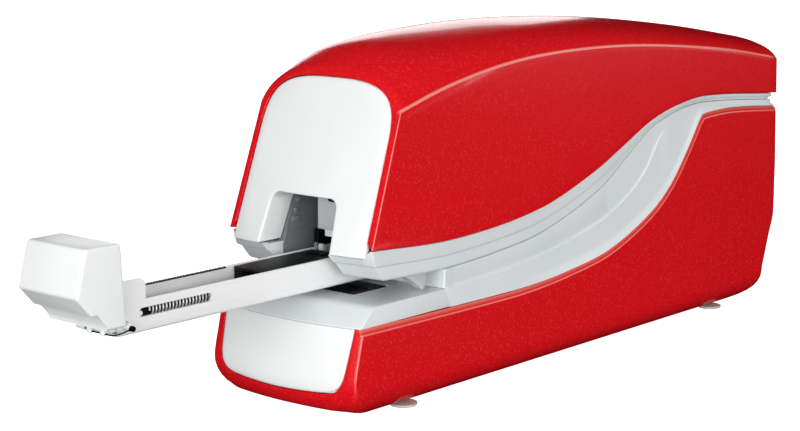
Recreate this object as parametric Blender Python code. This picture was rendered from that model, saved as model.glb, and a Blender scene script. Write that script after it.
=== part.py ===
"""Battery-powered desk stapler with its staple drawer pulled out, as an assembly of separate pieces.

Lengths are in millimetres in this file and become metres where a mesh is made. X is across the body,
Y runs from the front of the body to its rear, Z is up from the table. Y counts from the front corner
of the upper shell, and FRONT_CORNER_Y moves that corner to its place in the part's own frame, whose
origin is under the middle of the whole stapler.
"""
import math

import bmesh
import bpy
from mathutils import Matrix, Vector

MM = 0.001
FRONT_CORNER_Y = -62.79     # the part's Y of the upper shell's front corner
GAP = 0.3                   # air between pieces that touch

# Outer skin of the body
HALF_WIDTH = 26.9           # half the width of the body at the paper slot
CREASE_HALF_WIDTH = 25.8    # half the width where the side turns into the roof
REAR_Y = 213.0
UNDERSIDE_Z = 1.2
WALL = 2.0
EDGE_RADIUS = 8.0           # rounding between the sides and the underside
FRONT_BULGE = 2.1           # how far the upper front swells forward at the middle
LOWER_FRONT_BULGE = 3.6
FRONT_LEAN = 0.36           # how far the upper front leans back for each unit of height
FRONT_FOOT_Z = 47.5         # lower end of the red upper front
TRIM_INSET = 0.6            # how far the white band stands behind the red skin
BODY_INSET = 0.9            # the same for the white body between the red shells

# Magazine drawer
CHANNEL_HALF = 7.3
CHANNEL_WALL = 0.8
CHANNEL_Z = (34.1, 42.4)
CHANNEL_Y = (-71.6, 41.0)
CAP_HALF = 11.1
CAP_PIVOT = (0, -69.3, 36.8)
PUSHER_Y = (-18.8, 11.6)
SPRING_FRONT_Y = -56.5
NOTCH_HALF = 12.3

# Driver and gear train, all shafts along X
STROKE = 10.0
CAM_YZ = (34.0, 70.0)
FIRST_MODULE = 0.7
PINION_TEETH = 10
WHEEL_TEETH = 44
SECOND_MODULE = 0.9
SMALL_TEETH = 12
CAM_TEETH = 36
CAM_TO_WHEEL_DEG = 19.0     # rise of the wheel's shaft behind the cam's shaft
WHEEL_TO_MOTOR_DEG = -22.0

# Four round cells in the base
CELL_RADIUS = 7.1
CELL_LENGTH = 49.5
BAY_Y = (126.0, 181.0)

# Finishes: colour in linear light, roughness, metallic
FINISHES = {
    "red_shell": ((0.72, 0.012, 0.021), 0.28, 0.0),
    "white_panel": ((0.86, 0.87, 0.87), 0.35, 0.0),
    "light_grey": ((0.55, 0.57, 0.58), 0.45, 0.0),
    "dark_grey": ((0.09, 0.10, 0.105), 0.5, 0.0),
    "black_plastic": ((0.012, 0.012, 0.013), 0.45, 0.0),
    "steel": ((0.62, 0.62, 0.63), 0.25, 1.0),
    "black_steel": ((0.03, 0.03, 0.03), 0.35, 1.0),
    "brass": ((0.70, 0.52, 0.22), 0.35, 1.0),
    "gear_plastic": ((0.80, 0.78, 0.70), 0.5, 0.0),
    "rubber": ((0.70, 0.71, 0.70), 0.6, 0.0),
    "board": ((0.02, 0.16, 0.06), 0.5, 0.0),
    "cell": ((0.10, 0.11, 0.13), 0.35, 0.5),
}


def smooth_curve(*points):
    """Return a function whose value runs smoothly through the given (position, value) points."""
    slopes = []
    for i in range(len(points)):
        before = points[max(i - 1, 0)]
        after = points[min(i + 1, len(points) - 1)]
        slopes.append((after[1] - before[1]) / (after[0] - before[0]))

    def value(position):
        position = min(max(position, points[0][0]), points[-1][0])
        i = 0
        while i < len(points) - 2 and position > points[i + 1][0]:
            i += 1
        width = points[i + 1][0] - points[i][0]
        t = (position - points[i][0]) / width
        start = (2 * t ** 3 - 3 * t ** 2 + 1) * points[i][1]
        start_slope = (t ** 3 - 2 * t ** 2 + t) * width * slopes[i]
        end = (3 * t ** 2 - 2 * t ** 3) * points[i + 1][1]
        end_slope = (t ** 3 - t ** 2) * width * slopes[i + 1]
        return start + start_slope + end + end_slope

    return value


# Lines of the body seen from the side: height over Y
upper_edge = smooth_curve((0, 47.5), (36, 45.9), (75, 49.1), (103, 56.8), (119, 63.2), (134, 69.3),
                          (150, 73.0), (168, 74.5), (213, 71.4))
trim_edge = smooth_curve((5, 38.3), (32, 37.6), (55, 38.7), (79, 41.6), (108, 50.7), (122, 58.6),
                         (137, 66.9), (152, 71.0), (168, 72.2), (213, 69.2))
lower_edge = smooth_curve((-4, 26.6), (48, 26.1), (70, 26.3), (91, 28.0), (112, 31.3), (134, 39.6),
                          (146, 47.7), (157, 59.4), (163.5, 67.6), (165.5, 68.5), (183, 68.9),
                          (213, 66.8))
crease = smooth_curve((11, 83.0), (34, 88.7), (61, 93.0), (90, 94.5), (127, 93.6), (175, 89.2), (213, 83.5))
crest = smooth_curve((14.9, 93.9), (23, 98.8), (34, 101.0), (55, 102.5), (82, 103.2), (125, 101.5),
                     (173, 96.5), (213, 90.5))
# Lower front and rear seen from the side: Y over height
lower_front = smooth_curve((1.2, 4.0), (2.2, -1.5), (4.5, -4.8), (9, -6.7), (13, -6.7), (20, -5.1),
                           (26.9, -3.4))
rear = smooth_curve((1.2, 188.0), (2.7, 197.7), (5.9, 204.2), (11.6, 206.6), (21.7, 210.1),
                    (30, REAR_Y), (95, REAR_Y))


def side_x(z):
    """Half the width of the body at a height."""
    if z < UNDERSIDE_Z + EDGE_RADIUS:
        drop = UNDERSIDE_Z + EDGE_RADIUS - max(z, UNDERSIDE_Z)
        return HALF_WIDTH - EDGE_RADIUS + math.sqrt(EDGE_RADIUS ** 2 - drop ** 2)
    taper = min(max((z - FRONT_FOOT_Z) / 45, 0), 1)
    return HALF_WIDTH - (HALF_WIDTH - CREASE_HALF_WIDTH) * taper


def swell(x, depth):
    return depth * (1 - (x / HALF_WIDTH) ** 2)


def upper_front_y(x, z):
    return FRONT_LEAN * (z - FRONT_FOOT_Z) - swell(x, FRONT_BULGE)


def lip_front_y(x, z):
    return -0.6 + 0.85 * (45.2 - z) - swell(x, FRONT_BULGE)


def lower_front_y(x, z):
    return lower_front(z) - swell(x, LOWER_FRONT_BULGE)


def to_part(point):
    return Vector((point[0], point[1] + FRONT_CORNER_Y, point[2])) * MM


def material(finish):
    mat = bpy.data.materials.get(finish)
    if mat is None:
        colour, roughness, metallic = FINISHES[finish]
        mat = bpy.data.materials.new(finish)
        mat.use_nodes = True
        shader = mat.node_tree.nodes["Principled BSDF"]
        shader.inputs["Base Color"].default_value = (*colour, 1)
        shader.inputs["Roughness"].default_value = roughness
        shader.inputs["Metallic"].default_value = metallic
        mat.diffuse_color = (*colour, 1)
    return mat


def make(name, points, faces, finish, pivot=(0, -FRONT_CORNER_Y, 0), smooth=None):
    """Make a named object from points in body coordinates, with its origin on the pivot."""
    origin = to_part(pivot)
    bm = bmesh.new()
    verts = [bm.verts.new(to_part(p) - origin) for p in points]
    for face in faces:
        bm.faces.new([verts[i] for i in face])
    bmesh.ops.remove_doubles(bm, verts=bm.verts, dist=1e-6)
    bmesh.ops.recalc_face_normals(bm, faces=bm.faces)
    mesh = bpy.data.meshes.new(name)
    bm.to_mesh(mesh)
    bm.free()
    if smooth is not None:
        mesh.shade_smooth()
        mesh.set_sharp_from_angle(angle=math.radians(smooth))
    obj = bpy.data.objects.new(name, mesh)
    obj.location = origin
    bpy.context.scene.collection.objects.link(obj)
    mesh.materials.append(material(finish))
    return obj


def place_along(axis, a, b, c):
    """Put outline coordinates (a, b) at c along an axis: (y, z) for X, (x, z) for Y, (x, y) for Z."""
    return {"X": (c, a, b), "Y": (a, c, b), "Z": (a, b, c)}[axis]


def make_cutter(name, points, faces):
    cutter = make(name, points, faces, "light_grey")
    cutter.hide_render = True
    cutter.display_type = "WIRE"
    return cutter


def combine(obj, other, operation="DIFFERENCE"):
    modifier = obj.modifiers.new(other.name, "BOOLEAN")
    modifier.operation = operation
    modifier.solver = "EXACT"
    modifier.object = other


def prism(outline, axis, low, high):
    """Points and faces of an outline pushed along an axis.

    The outline is in (y, z) for axis X, (x, z) for axis Y and (x, y) for axis Z.
    """
    count = len(outline)
    points = [place_along(axis, a, b, c) for c in (low, high) for a, b in outline]
    faces = [list(range(count)), list(range(count, 2 * count))]
    for i in range(count):
        j = (i + 1) % count
        faces.append([i, j, count + j, count + i])
    return points, faces


def rectangle(a0, a1, b0, b1):
    return [(a0, b0), (a1, b0), (a1, b1), (a0, b1)]


def box(x0, x1, y0, y1, z0, z1):
    return prism(rectangle(x0, x1, y0, y1), "Z", z0, z1)


def circle(centre, radius, sides=16, start=0.0):
    turn = 2 * math.pi / sides
    return [(centre[0] + radius * math.cos(start + turn * i), centre[1] + radius * math.sin(start + turn * i))
            for i in range(sides)]


def rounded(corners, radius, steps=3):
    """Outline with each corner replaced by an arc of the given radius."""
    outline = []
    for i, corner in enumerate(corners):
        here = Vector(corner)
        back = (Vector(corners[i - 1]) - here).normalized()
        ahead = (Vector(corners[(i + 1) % len(corners)]) - here).normalized()
        half = back.angle(ahead) / 2
        reach = radius / math.tan(half)
        centre = here + (back + ahead).normalized() * (radius / math.sin(half))
        start = here + back * reach - centre
        end = here + ahead * reach - centre
        sweep = start.angle_signed(end)
        for k in range(steps + 1):
            arm = Matrix.Rotation(-sweep * k / steps, 2) @ start
            outline.append(tuple(centre + arm))
    return outline


def slot_outline(a0, a1, b0, b1, steps=5):
    """Outline with two round ends, long in the first direction."""
    radius = (b1 - b0) / 2
    middle = (b0 + b1) / 2
    outline = []
    for centre, start in ((a1 - radius, -math.pi / 2), (a0 + radius, math.pi / 2)):
        for k in range(steps + 1):
            angle = start + math.pi * k / steps
            outline.append((centre + radius * math.cos(angle), middle + radius * math.sin(angle)))
    return outline


def gear_outline(centre, module, teeth, phase):
    """Toothed outline with the middle of a tooth at the phase angle, thin enough to run freely."""
    pitch = module * teeth / 2
    tip, root = pitch + 0.9 * module, pitch - 1.2 * module
    step = 2 * math.pi / teeth
    outline = []
    for i in range(teeth):
        middle = phase + i * step
        for radius, share in ((root, -0.30), (tip, -0.10), (tip, 0.10), (root, 0.30)):
            angle = middle + share * step
            outline.append((centre[0] + radius * math.cos(angle), centre[1] + radius * math.sin(angle)))
    return outline


def stack(outlines, axis, positions):
    """Points and faces of outlines with the same number of points, joined one after another."""
    count = len(outlines[0])
    points = [place_along(axis, a, b, c) for outline, c in zip(outlines, positions) for a, b in outline]
    faces = [list(range(count)), list(range(len(points) - count, len(points)))]
    for row in range(len(outlines) - 1):
        for i in range(count):
            j = (i + 1) % count
            low, high = row * count, (row + 1) * count
            faces.append([low + i, low + j, high + j, high + i])
    return points, faces


def ring_of_rows(rows):
    """Closed wall from loops listed once around its cross-section."""
    count = len(rows[0])
    points = [p for row in rows for p in row]
    faces = []
    for r in range(len(rows)):
        after = (r + 1) % len(rows)
        for i in range(count):
            j = (i + 1) % count
            faces.append([r * count + i, r * count + j, after * count + j, after * count + i])
    return points, faces


def tube(path, radius, sides=6):
    """Round wire along a path of points."""
    points, faces = [], []
    side = None
    for i, here in enumerate(path):
        here = Vector(here)
        ahead = (Vector(path[min(i + 1, len(path) - 1)]) - Vector(path[max(i - 1, 0)])).normalized()
        if side is None:
            side = ahead.orthogonal().normalized()
        side = (side - ahead * side.dot(ahead)).normalized()
        up = ahead.cross(side)
        for k in range(sides):
            angle = 2 * math.pi * k / sides
            points.append(tuple(here + side * (radius * math.cos(angle)) + up * (radius * math.sin(angle))))
    for i in range(len(path) - 1):
        for k in range(sides):
            m = (k + 1) % sides
            faces.append([i * sides + k, i * sides + m, (i + 1) * sides + m, (i + 1) * sides + k])
    faces.append(list(range(sides)))
    faces.append(list(range((len(path) - 1) * sides, len(path) * sides)))
    return points, faces


def coil_path(start, axis, length, radius, turns, per_turn=9):
    """Points along a coil that begins at start and advances along Y or Z."""
    path = []
    for i in range(turns * per_turn + 1):
        angle = 2 * math.pi * i / per_turn
        along = length * i / (turns * per_turn)
        across = (radius * math.cos(angle), radius * math.sin(angle))
        if axis == "Y":
            path.append((start[0] + across[0], start[1] + along, start[2] + across[1]))
        else:
            path.append((start[0] + across[0], start[1] + across[1], start[2] + along))
    return path


# ---- outer shells ----

def roof_section(y, inset):
    """Half cross-section of the roof at Y, from the side's lower edge up to the crest."""
    low, turn, top = upper_edge(y), crease(y) - 0.6 * inset, crest(y) - inset
    corner_x = CREASE_HALF_WIDTH - inset
    rise = top - turn
    side = [(side_x(z) - inset, z) for z in (low, low + 0.5 * (turn - low))] + [(corner_x, turn)]
    controls = [(corner_x, turn), (corner_x - 2, turn + 0.62 * rise), (14, top - 0.02 * rise), (0, top)]
    arc = []
    for k in range(1, 7):
        t = k / 6
        weights = ((1 - t) ** 3, 3 * t * (1 - t) ** 2, 3 * t ** 2 * (1 - t), t ** 3)
        arc.append(tuple(sum(w * c[a] for w, c in zip(weights, controls)) for a in (0, 1)))
    return side + arc


def roof_row(share, inset, front_inset, rear_inset):
    """Full row of roof points at a share of the way from the front face to the rear face."""
    half = []
    for index in range(9):
        y = share * REAR_Y
        for _ in range(8):
            x, z = roof_section(y, inset)[index]
            front = upper_front_y(x, z) + front_inset
            y = front + share * (REAR_Y - rear_inset - front)
        half.append((x, y, z))
    return half + [(-x, y, z) for x, y, z in reversed(half[:-1])]


# Places along the side where every shell has a row of points, so that their edges run parallel
SEAM_YS = (9, 20, 32.4, 44, 56, 67, 78, 88, 98, 107, 116, 124, 132, 140, 147, 153, 158, 161.5, 163.5, 165.5, 178)


def roof_shares():
    """Shares of the way along the roof whose lower ends stand at the seam places."""
    shares = [0, 0.012, 0.028]
    for y in SEAM_YS[1:] + (196,):
        front = upper_front_y(HALF_WIDTH, upper_edge(y))
        shares.append((y - front) / (REAR_Y - front))
    return shares + [0.975]


def roof_skin(inset):
    rows = [roof_row(share, inset, inset, inset) for share in roof_shares()]
    rows.append(roof_row(0.993, inset + 0.7, inset, inset))
    rows.append(roof_row(1.0, inset + 2.2, inset, inset))
    return rows


def upper_shell():
    outer, inner = roof_skin(0), roof_skin(WALL)
    width = len(outer[0])
    across = 5
    points, faces = [], []
    for skin in (outer, inner):
        base = len(points)
        points += [p for row in skin for p in row]
        for r in range(len(skin) - 1):
            for c in range(width - 1):
                a = base + r * width + c
                faces.append([a, a + 1, a + width + 1, a + width])
        last = base + (len(skin) - 1) * width
        for c in range(width // 2):
            rung = [last + c, last + c + 1, last + width - 2 - c, last + width - 1 - c]
            faces.append(list(dict.fromkeys(rung)))
        rungs = []
        for c in range(width // 2):
            right, left = skin[0][c], skin[0][width - 1 - c]
            rung = [base + c]
            for k in range(1, across):
                x = right[0] + (left[0] - right[0]) * k / across
                lift = upper_front_y(x, right[2]) - upper_front_y(right[0], right[2])
                points.append((x, right[1] + lift, right[2]))
                rung.append(len(points) - 1)
            rungs.append(rung + [base + width - 1 - c])
        for low, high in zip(rungs, rungs[1:]):
            for k in range(across):
                faces.append([low[k], low[k + 1], high[k + 1], high[k]])
        for k in range(across):
            faces.append([rungs[-1][k], rungs[-1][k + 1], base + width // 2])
        if skin is outer:
            outer_foot = rungs[0]
            outer_last = last
        else:
            for a, b in zip(range(across), range(1, across + 1)):
                faces.append([outer_foot[a], outer_foot[b], rungs[0][b], rungs[0][a]])
            faces.append([outer_last, outer_last + width - 1, last + width - 1, last])
            for r in range(len(skin) - 1):
                for c in (0, width - 1):
                    a, b = r * width + c, base + r * width + c
                    faces.append([a, a + width, b + width, b])
    shell = make("upper_shell", points, faces, "red_shell", smooth=35)
    combine(shell, make_cutter("front_opening", *prism(panel_outline(GAP), "Y", -12, 30)))
    return shell


def panel_outline(grow):
    """Outline in (x, z) of the white upper front panel, grown by an amount."""
    side = 24.6 + grow
    top = 91.0 + grow
    half = [(side - 0.3, 40), (side - 0.3, 66), (side - 1.2, 77), (side - 2.6, 82), (side - 6.0, 86.8),
            (side - 10.5, 89.4), (side - 16, top - 0.5), (0, top)]
    return half + [(-x, z) for x, z in reversed(half[:-1])]


def front_sheet(front_y, x_reach, heights, proud, depth):
    """Curved sheet that follows a front face, from a little proud of it to a depth behind it."""
    columns = [x_reach * k / 4 for k in range(-4, 5)]
    points, faces = [], []
    for offset in (-proud, depth):
        for z in heights:
            points += [(x, front_y(x, z) + offset, z) for x in columns]
    wide, high = len(columns), len(heights)
    sheet = wide * high
    edge = [c for c in range(wide)]
    edge += [r * wide + wide - 1 for r in range(1, high)]
    edge += [(high - 1) * wide + c for c in range(wide - 2, -1, -1)]
    edge += [r * wide for r in range(high - 2, 0, -1)]
    for r in range(high - 1):
        for c in range(wide - 1):
            a = r * wide + c
            faces.append([a, a + 1, a + wide + 1, a + wide])
            faces.append([sheet + a, sheet + a + wide, sheet + a + wide + 1, sheet + a + 1])
    for a, b in zip(edge, edge[1:] + edge[:1]):
        faces.append([a, b, sheet + b, sheet + a])
    return points, faces


def front_panel():
    points, faces = front_sheet(upper_front_y, 27, (45.3, 58, 72, 84, 94), 0.2, 1.8)
    panel = make("front_panel", points, faces, "white_panel", smooth=35)
    combine(panel, make_cutter("front_panel_outline", *prism(panel_outline(0), "Y", -12, 30)), "INTERSECT")
    foot_half = NOTCH_HALF + 1.2
    notch = rounded([(-foot_half, 40), (foot_half, 40), (NOTCH_HALF, 59.3), (-NOTCH_HALF, 59.3)], 2.5)
    combine(panel, make_cutter("notch", *prism(notch, "Y", -12, 30)))


def half_loop(height, front_y, inset, stations):
    """Half of a loop around the body, from the front middle along +X to the rear middle.

    height maps (x, y) to z, so that an edge can rise and fall along the body.
    """
    loop = []
    for kind, value in stations:
        y = 100.0
        for _ in range(6):
            x = HALF_WIDTH if kind.startswith("side") else value * HALF_WIDTH
            z = height(x, y)
            wide = side_x(z) - inset
            back = rear(z) - inset
            corner = front_y(wide, z) + inset
            if kind == "front":
                x = value * wide
                y = front_y(x, z) + inset
            elif kind == "side":
                x = wide
                y = value
            elif kind == "side_start":
                x = wide
                y = corner + value
            elif kind == "side_end":
                x = wide
                y = SEAM_YS[-1] + value * (back - 4.0 - SEAM_YS[-1])
            elif kind == "rear_corner":
                angle = value * math.pi / 2
                x = wide - 4.0 * (1 - math.cos(angle))
                y = back - 4.0 * (1 - math.sin(angle))
            else:
                x = value * (wide - 4.0)
                y = back
            z = height(x, y)
        loop.append((x, y, z))
    return loop


FRONT_STATIONS = [("front", v) for v in (0, 0.33, 0.62, 0.86, 0.94, 0.97)]
REAR_STATIONS = ([("side_end", v) for v in (0.5, 1)] + [("rear_corner", v) for v in (0.33, 0.67, 1)]
                 + [("rear", v) for v in (0.5, 0)])
STATIONS = FRONT_STATIONS + [("side_start", 1.2)] + [("side", y) for y in SEAM_YS] + REAR_STATIONS


def full_loop(height, front_y, inset, stations=STATIONS):
    half = half_loop(height, front_y, inset, stations)
    return half + [(-x, y, z) for x, y, z in reversed(half[1:-1])]


def level(base, share=0.0):
    """Height of a row between a fixed level and the shell's top edge."""
    return lambda x, y: base + share * (lower_edge(y) - base)


def lower_shell():
    levels = [level(26, 1), level(24, 0.15), level(15.5), level(9.2), level(4.6), level(2.2), level(UNDERSIDE_Z)]
    rows = [full_loop(height, lower_front_y, 0) for height in levels]
    flange = 2.5
    foot = rows[-1]
    middle_y = 0.5 * (foot[0][1] + max(p[1] for p in foot))
    reach = max(p[1] for p in foot) - middle_y
    rows.append([(x * (1 - flange / HALF_WIDTH), middle_y + (y - middle_y) * (1 - flange / reach), z)
                 for x, y, z in foot])
    rows.append([(x, y, z + WALL) for x, y, z in rows[-1]])
    inner_levels = [level(26, 1), level(24, 0.15), level(15.5), level(9.2), level(5.2), level(UNDERSIDE_Z + WALL)]
    inner = [full_loop(height, lower_front_y, WALL) for height in inner_levels]
    shell = make("lower_shell", *ring_of_rows(rows + list(reversed(inner))), "red_shell", smooth=35)
    combine(shell, make_cutter("lower_front_opening", *prism(lower_panel_outline(GAP), "Y", -14, 6)))


def lower_panel_outline(grow):
    outline = [(24.0 + grow, 34), (24.0 + grow, 25), (22.9 + grow, 13.4), (20.6 + grow, 10.2 - grow),
               (16.5, 9.0 - grow), (8, 8.3 - grow), (0, 8.1 - grow)]
    return outline + [(-x, z) for x, z in reversed(outline[:-1])]


def lower_front_panel():
    points, faces = front_sheet(lower_front_y, 26, (6, 9.5, 13, 20, 26.3), 0.2, 1.8)
    panel = make("lower_front_panel", points, faces, "white_panel", smooth=35)
    outline = prism(lower_panel_outline(0), "Y", -14, 6)
    combine(panel, make_cutter("lower_panel_outline", *outline), "INTERSECT")


def head_trim():
    """White band under the upper shell with its lip at the front and the head's floor."""
    def top(x, y):
        return 44.5 if abs(x) < 25.0 and y < 20 else upper_edge(y) - GAP

    def split(x, y):
        return trim_edge(y) + 0.5 * (upper_edge(y) - trim_edge(y)) - 0.6

    def foot(x, y):
        return trim_edge(y) + 0.15

    rows = [full_loop(top, lip_front_y, TRIM_INSET),
            full_loop(lambda x, y: split(x, y) + 0.3, lip_front_y, TRIM_INSET),
            full_loop(lambda x, y: split(x, y) - 0.1, lip_front_y, TRIM_INSET + 0.7),
            full_loop(foot, lip_front_y, TRIM_INSET + 0.7),
            full_loop(foot, lip_front_y, TRIM_INSET + 1.8),
            full_loop(top, lip_front_y, TRIM_INSET + 1.8)]
    trim = make("head_trim", *ring_of_rows(rows), "white_panel", smooth=35)
    for side in (-1, 1):
        outline = [(side * x, y) for x, y in ((NOTCH_HALF, 9.0), (25.2, 9.0), (25.2, 30.6), (10.2, 30.6),
                                              (10.2, 15.0), (NOTCH_HALF, 15.0))]
        name = "head_floor_" + ("left" if side < 0 else "right")
        combine(trim, make_cutter(name, *prism(outline, "Z", 38.4, 40.0)), "UNION")
    combine(trim, make_cutter("lip_notch", *box(-NOTCH_HALF, NOTCH_HALF, -8, 14.9, 30, 60)))
    combine(trim, make_cutter("trigger_slot", *box(19.8, 24.2, 8.0, 28.6, 36, 44)))


def middle_body():
    """White body between the shells; its front is the wall that stops the paper."""
    front = 31.6

    def top(x, y):
        return trim_edge(y) - 0.15

    def foot(x, y):
        return 32.15 if y < 34.5 else lower_edge(y) + GAP

    stations = [("front", v) for v in (0, 0.5, 0.97)] + [("side_start", 0.8)]
    stations += [("side", y) for y in (33.8, 35.2, *SEAM_YS[3:])] + REAR_STATIONS
    back = BODY_INSET + 1.8
    rows = []
    for height, inset in ((top, BODY_INSET), (foot, BODY_INSET), (foot, back), (top, back)):
        rows.append(full_loop(height, lambda x, z: front - BODY_INSET, inset, stations))
    body = make("middle_body", *ring_of_rows(rows), "white_panel", smooth=35)
    combine(body, make_cutter("throat_gate", *box(-9.9, 9.9, 28, 37, 33.0, 42)))


def deck():
    """White deck that the paper lies on, hollow underneath, with a recess for the anvil."""
    columns = [(HALF_WIDTH - BODY_INSET) * k / 6 for k in range(-6, 7)]
    outlines = []
    for x in columns:
        front = lower_front_y(x, 26.9) + 0.2
        outlines.append([(front, 26.9), (front + 0.3, 27.3), (2.6 - swell(x, 2.3), 31.85), (33.1, 31.85),
                         (33.1, 26.9)])
    points, faces = stack(outlines, "X", columns)
    plate = make("deck", points, faces, "white_panel")
    combine(plate, make_cutter("deck_hollow", *box(-24, 24, 5, 31.6, 20, 29.6)))
    combine(plate, make_cutter("anvil_recess", *box(-11.3, 11.3, 10.0, 25.0, 31.0, 34)))


def anvil_plate():
    plate = make("anvil_plate", *box(-11, 11, 10.3, 24.7, 31.3, 31.95), "black_steel")
    for side in (-1, 1):
        groove = slot_outline(side * 3.4 - 2.6, side * 3.4 + 2.6, 16.9, 18.7)
        combine(plate, make_cutter("forming_groove" + str(side + 1), *prism(groove, "Z", 31.65, 33)))


def base():
    outline = rounded(rectangle(-18, 18, 12, 187), 5)
    low = UNDERSIDE_Z + WALL + GAP
    plate = make("base_plate", *prism(outline, "Z", low, low + WALL), "dark_grey")
    # The opening runs past the door at the rear, where the door's edge swings round its hinge.
    combine(plate, make_cutter("battery_hatch", *box(-16.2, 16.2, BAY_Y[0] - 1, BAY_Y[1] + 1.8, -5, 12)))
    number = 0
    for y in (30, 108):
        for x in (-11, 11):
            number += 1
            hole = prism(circle((x, y), 1.9, 10), "Z", -5, 12)
            combine(plate, make_cutter("screw_hole_" + str(number), *hole))
            outlines = [circle((x, y), r, 10) for r in (3.0, 3.0, 1.5, 1.5)]
            heights = (1.7, 3.1, 3.15, 14.0)
            make("case_screw_" + str(number), *stack(outlines, "Z", heights), "steel", smooth=35)
    hinge = (0, BAY_Y[1] + 0.2, 4.6)
    door_y = (BAY_Y[0] - 0.6, BAY_Y[1] + 0.6)
    door = make("battery_door", *box(-15.8, 15.8, *door_y, low, low + 1.7), "dark_grey", pivot=hinge)
    combine(door, make_cutter("door_grip", *box(-6, 6, BAY_Y[0] + 2, BAY_Y[0] + 5, 0, low + 0.7)))


def feet():
    number = 0
    for y in (20.0, 181.0):
        for x in (-20.8, 20.8):
            number += 1
            outlines = [circle((x, y), r, 16) for r in (3.4, 3.95, 3.95)]
            foot = stack(outlines, "Z", (0, 0.5, UNDERSIDE_Z - GAP))
            make("foot_" + str(number), *foot, "rubber", smooth=40)


# ---- magazine drawer ----

def magazine():
    half, wall = CHANNEL_HALF, CHANNEL_WALL
    low, high = CHANNEL_Z
    section = [(-half, low), (half, low), (half, high), (half - wall, high), (half - wall, low + wall),
               (wall - half, low + wall), (wall - half, high), (-half, high)]
    channel = make("magazine_channel", *prism(section, "Y", *CHANNEL_Y), "steel")
    for side in (-1, 1):
        x0, x1 = sorted((side * half, side * (half - wall)))
        tab = [(-71.6, 41), (-62.6, 41), (-62.6, 46.4), (-63.1, 47.5), (-64.2, 48.0), (-71.6, 48.0)]
        combine(channel, make_cutter("tab" + str(side + 1), *prism(tab, "X", x0, x1)), "UNION")
    window = slot_outline(-64.9, -39.7, 38.0, 40.4)
    combine(channel, make_cutter("spring_window", *prism(window, "X", 0, 9)))
    combine(channel, make_cutter("staple_gate", *box(-6.4, 6.4, -67.9, -65.9, 30, 36)))
    combine(channel, make_cutter("latch_bar", *box(-6.6, 6.6, 18.5, 20.3, 41.3, 42.4)), "UNION")
    combine(channel, make_cutter("pin_holes", *prism(circle(CAP_PIVOT[1:], 1.2, 10), "X", -9, 9)))

    profile = rounded([(-84.6, 58.6), (-87.8, 47.0), (-80.7, 39.4), (-79.6, 37.6), (-72.1, 37.6),
                       (-73.3, 58.6)], 0.9)
    cap = make("magazine_cap", *prism(profile, "X", -CAP_HALF, CAP_HALF), "white_panel", pivot=CAP_PIVOT)
    combine(cap, make_cutter("cap_hollow", *box(-8.8, 8.8, -81.5, -70.0, 43, 56)))
    combine(cap, make_cutter("cap_tongue", *box(-6.0, 6.0, -76.0, -70.7, 35.2, 41.0)), "UNION")
    # The seat round the pin is open at the top, so that the driver can come down over it.
    combine(cap, make_cutter("cap_seat", *box(-6.0, 6.0, -71.0, -67.4, 35.2, 37.5)), "UNION")
    combine(cap, make_cutter("cap_bore", *prism(circle(CAP_PIVOT[1:], 1.1, 10), "X", -7, 7)))

    make("cap_pin", *prism(circle(CAP_PIVOT[1:], 0.95, 10), "X", -9.0, 9.0), "steel", smooth=40)
    half_wire = [(9.6, -69.3, 36.0), (9.6, -76.4, 36.2), (9.0, -78.4, 36.6)]
    wire = half_wire + [(-x, y, z) for x, y, z in reversed(half_wire)]
    make("cap_wire", *tube(wire, 0.4), "black_steel", pivot=CAP_PIVOT, smooth=40)

    legs = [(-6.1, 35.4), (-2.9, 35.4), (-2.9, 41.2), (2.9, 41.2), (2.9, 35.4), (6.1, 35.4), (6.1, 42.2),
            (-6.1, 42.2)]
    make("staple_pusher", *prism(legs, "Y", *PUSHER_Y), "black_plastic", pivot=(0, PUSHER_Y[0], 39))
    path = coil_path((0, SPRING_FRONT_Y, 37.6), "Y", PUSHER_Y[0] - SPRING_FRONT_Y, 1.7, 14, 8)
    make("pusher_spring", *tube(path, 0.32, 4), "steel", smooth=60)
    make("spring_anchor", *prism(circle((-63.4, 38.7), 0.7, 8), "X", -6.2, 6.2), "steel", smooth=40)


# ---- head mechanism ----

def shaft_places():
    """Centres of the wheel's shaft and the motor's shaft in (y, z)."""
    reach = SECOND_MODULE * (CAM_TEETH + SMALL_TEETH) / 2
    angle = math.radians(CAM_TO_WHEEL_DEG)
    wheel = (CAM_YZ[0] + reach * math.cos(angle), CAM_YZ[1] + reach * math.sin(angle))
    reach = FIRST_MODULE * (WHEEL_TEETH + PINION_TEETH) / 2
    angle = math.radians(WHEEL_TO_MOTOR_DEG)
    motor = (wheel[0] + reach * math.cos(angle), wheel[1] + reach * math.sin(angle))
    return wheel, motor


def driver():
    pivot = (0, 17, 60)
    block = make("driver_block", *box(-6.1, 6.1, 14.5, 17.0, 47.8, 84), "light_grey", pivot=pivot)
    yoke = box(-1.5, 4.0, 16.5, 44.5, 60.5, 82)
    combine(block, make_cutter("yoke", *yoke), "UNION")
    arm = box(-9.5, -1.0, 29.5, 38.5, 66.3, 68.3)
    combine(block, make_cutter("spring_arm", *arm), "UNION")
    crank = STROKE / 2
    pin_z = CAM_YZ[1] + crank
    race = slot_outline(CAM_YZ[0] - crank - 2.2, CAM_YZ[0] + crank + 2.2, pin_z - 2.0, pin_z + 2.0)
    combine(block, make_cutter("race", *prism(race, "X", -5, 8)))
    combine(block, make_cutter("blade_pocket", *box(-7, 7, 17.02, 19.0, 40, 79)))
    make("driver_blade", *box(-6.1, 6.1, 17.35, 18.15, 45.2, 78.6), "steel", pivot=pivot)
    path = coil_path((-5.6, 34.0, 48.3), "Z", 17.4, 2.3, 6, 9)
    make("driver_spring", *tube(path, 0.35, 5), "steel", smooth=60)


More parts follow.
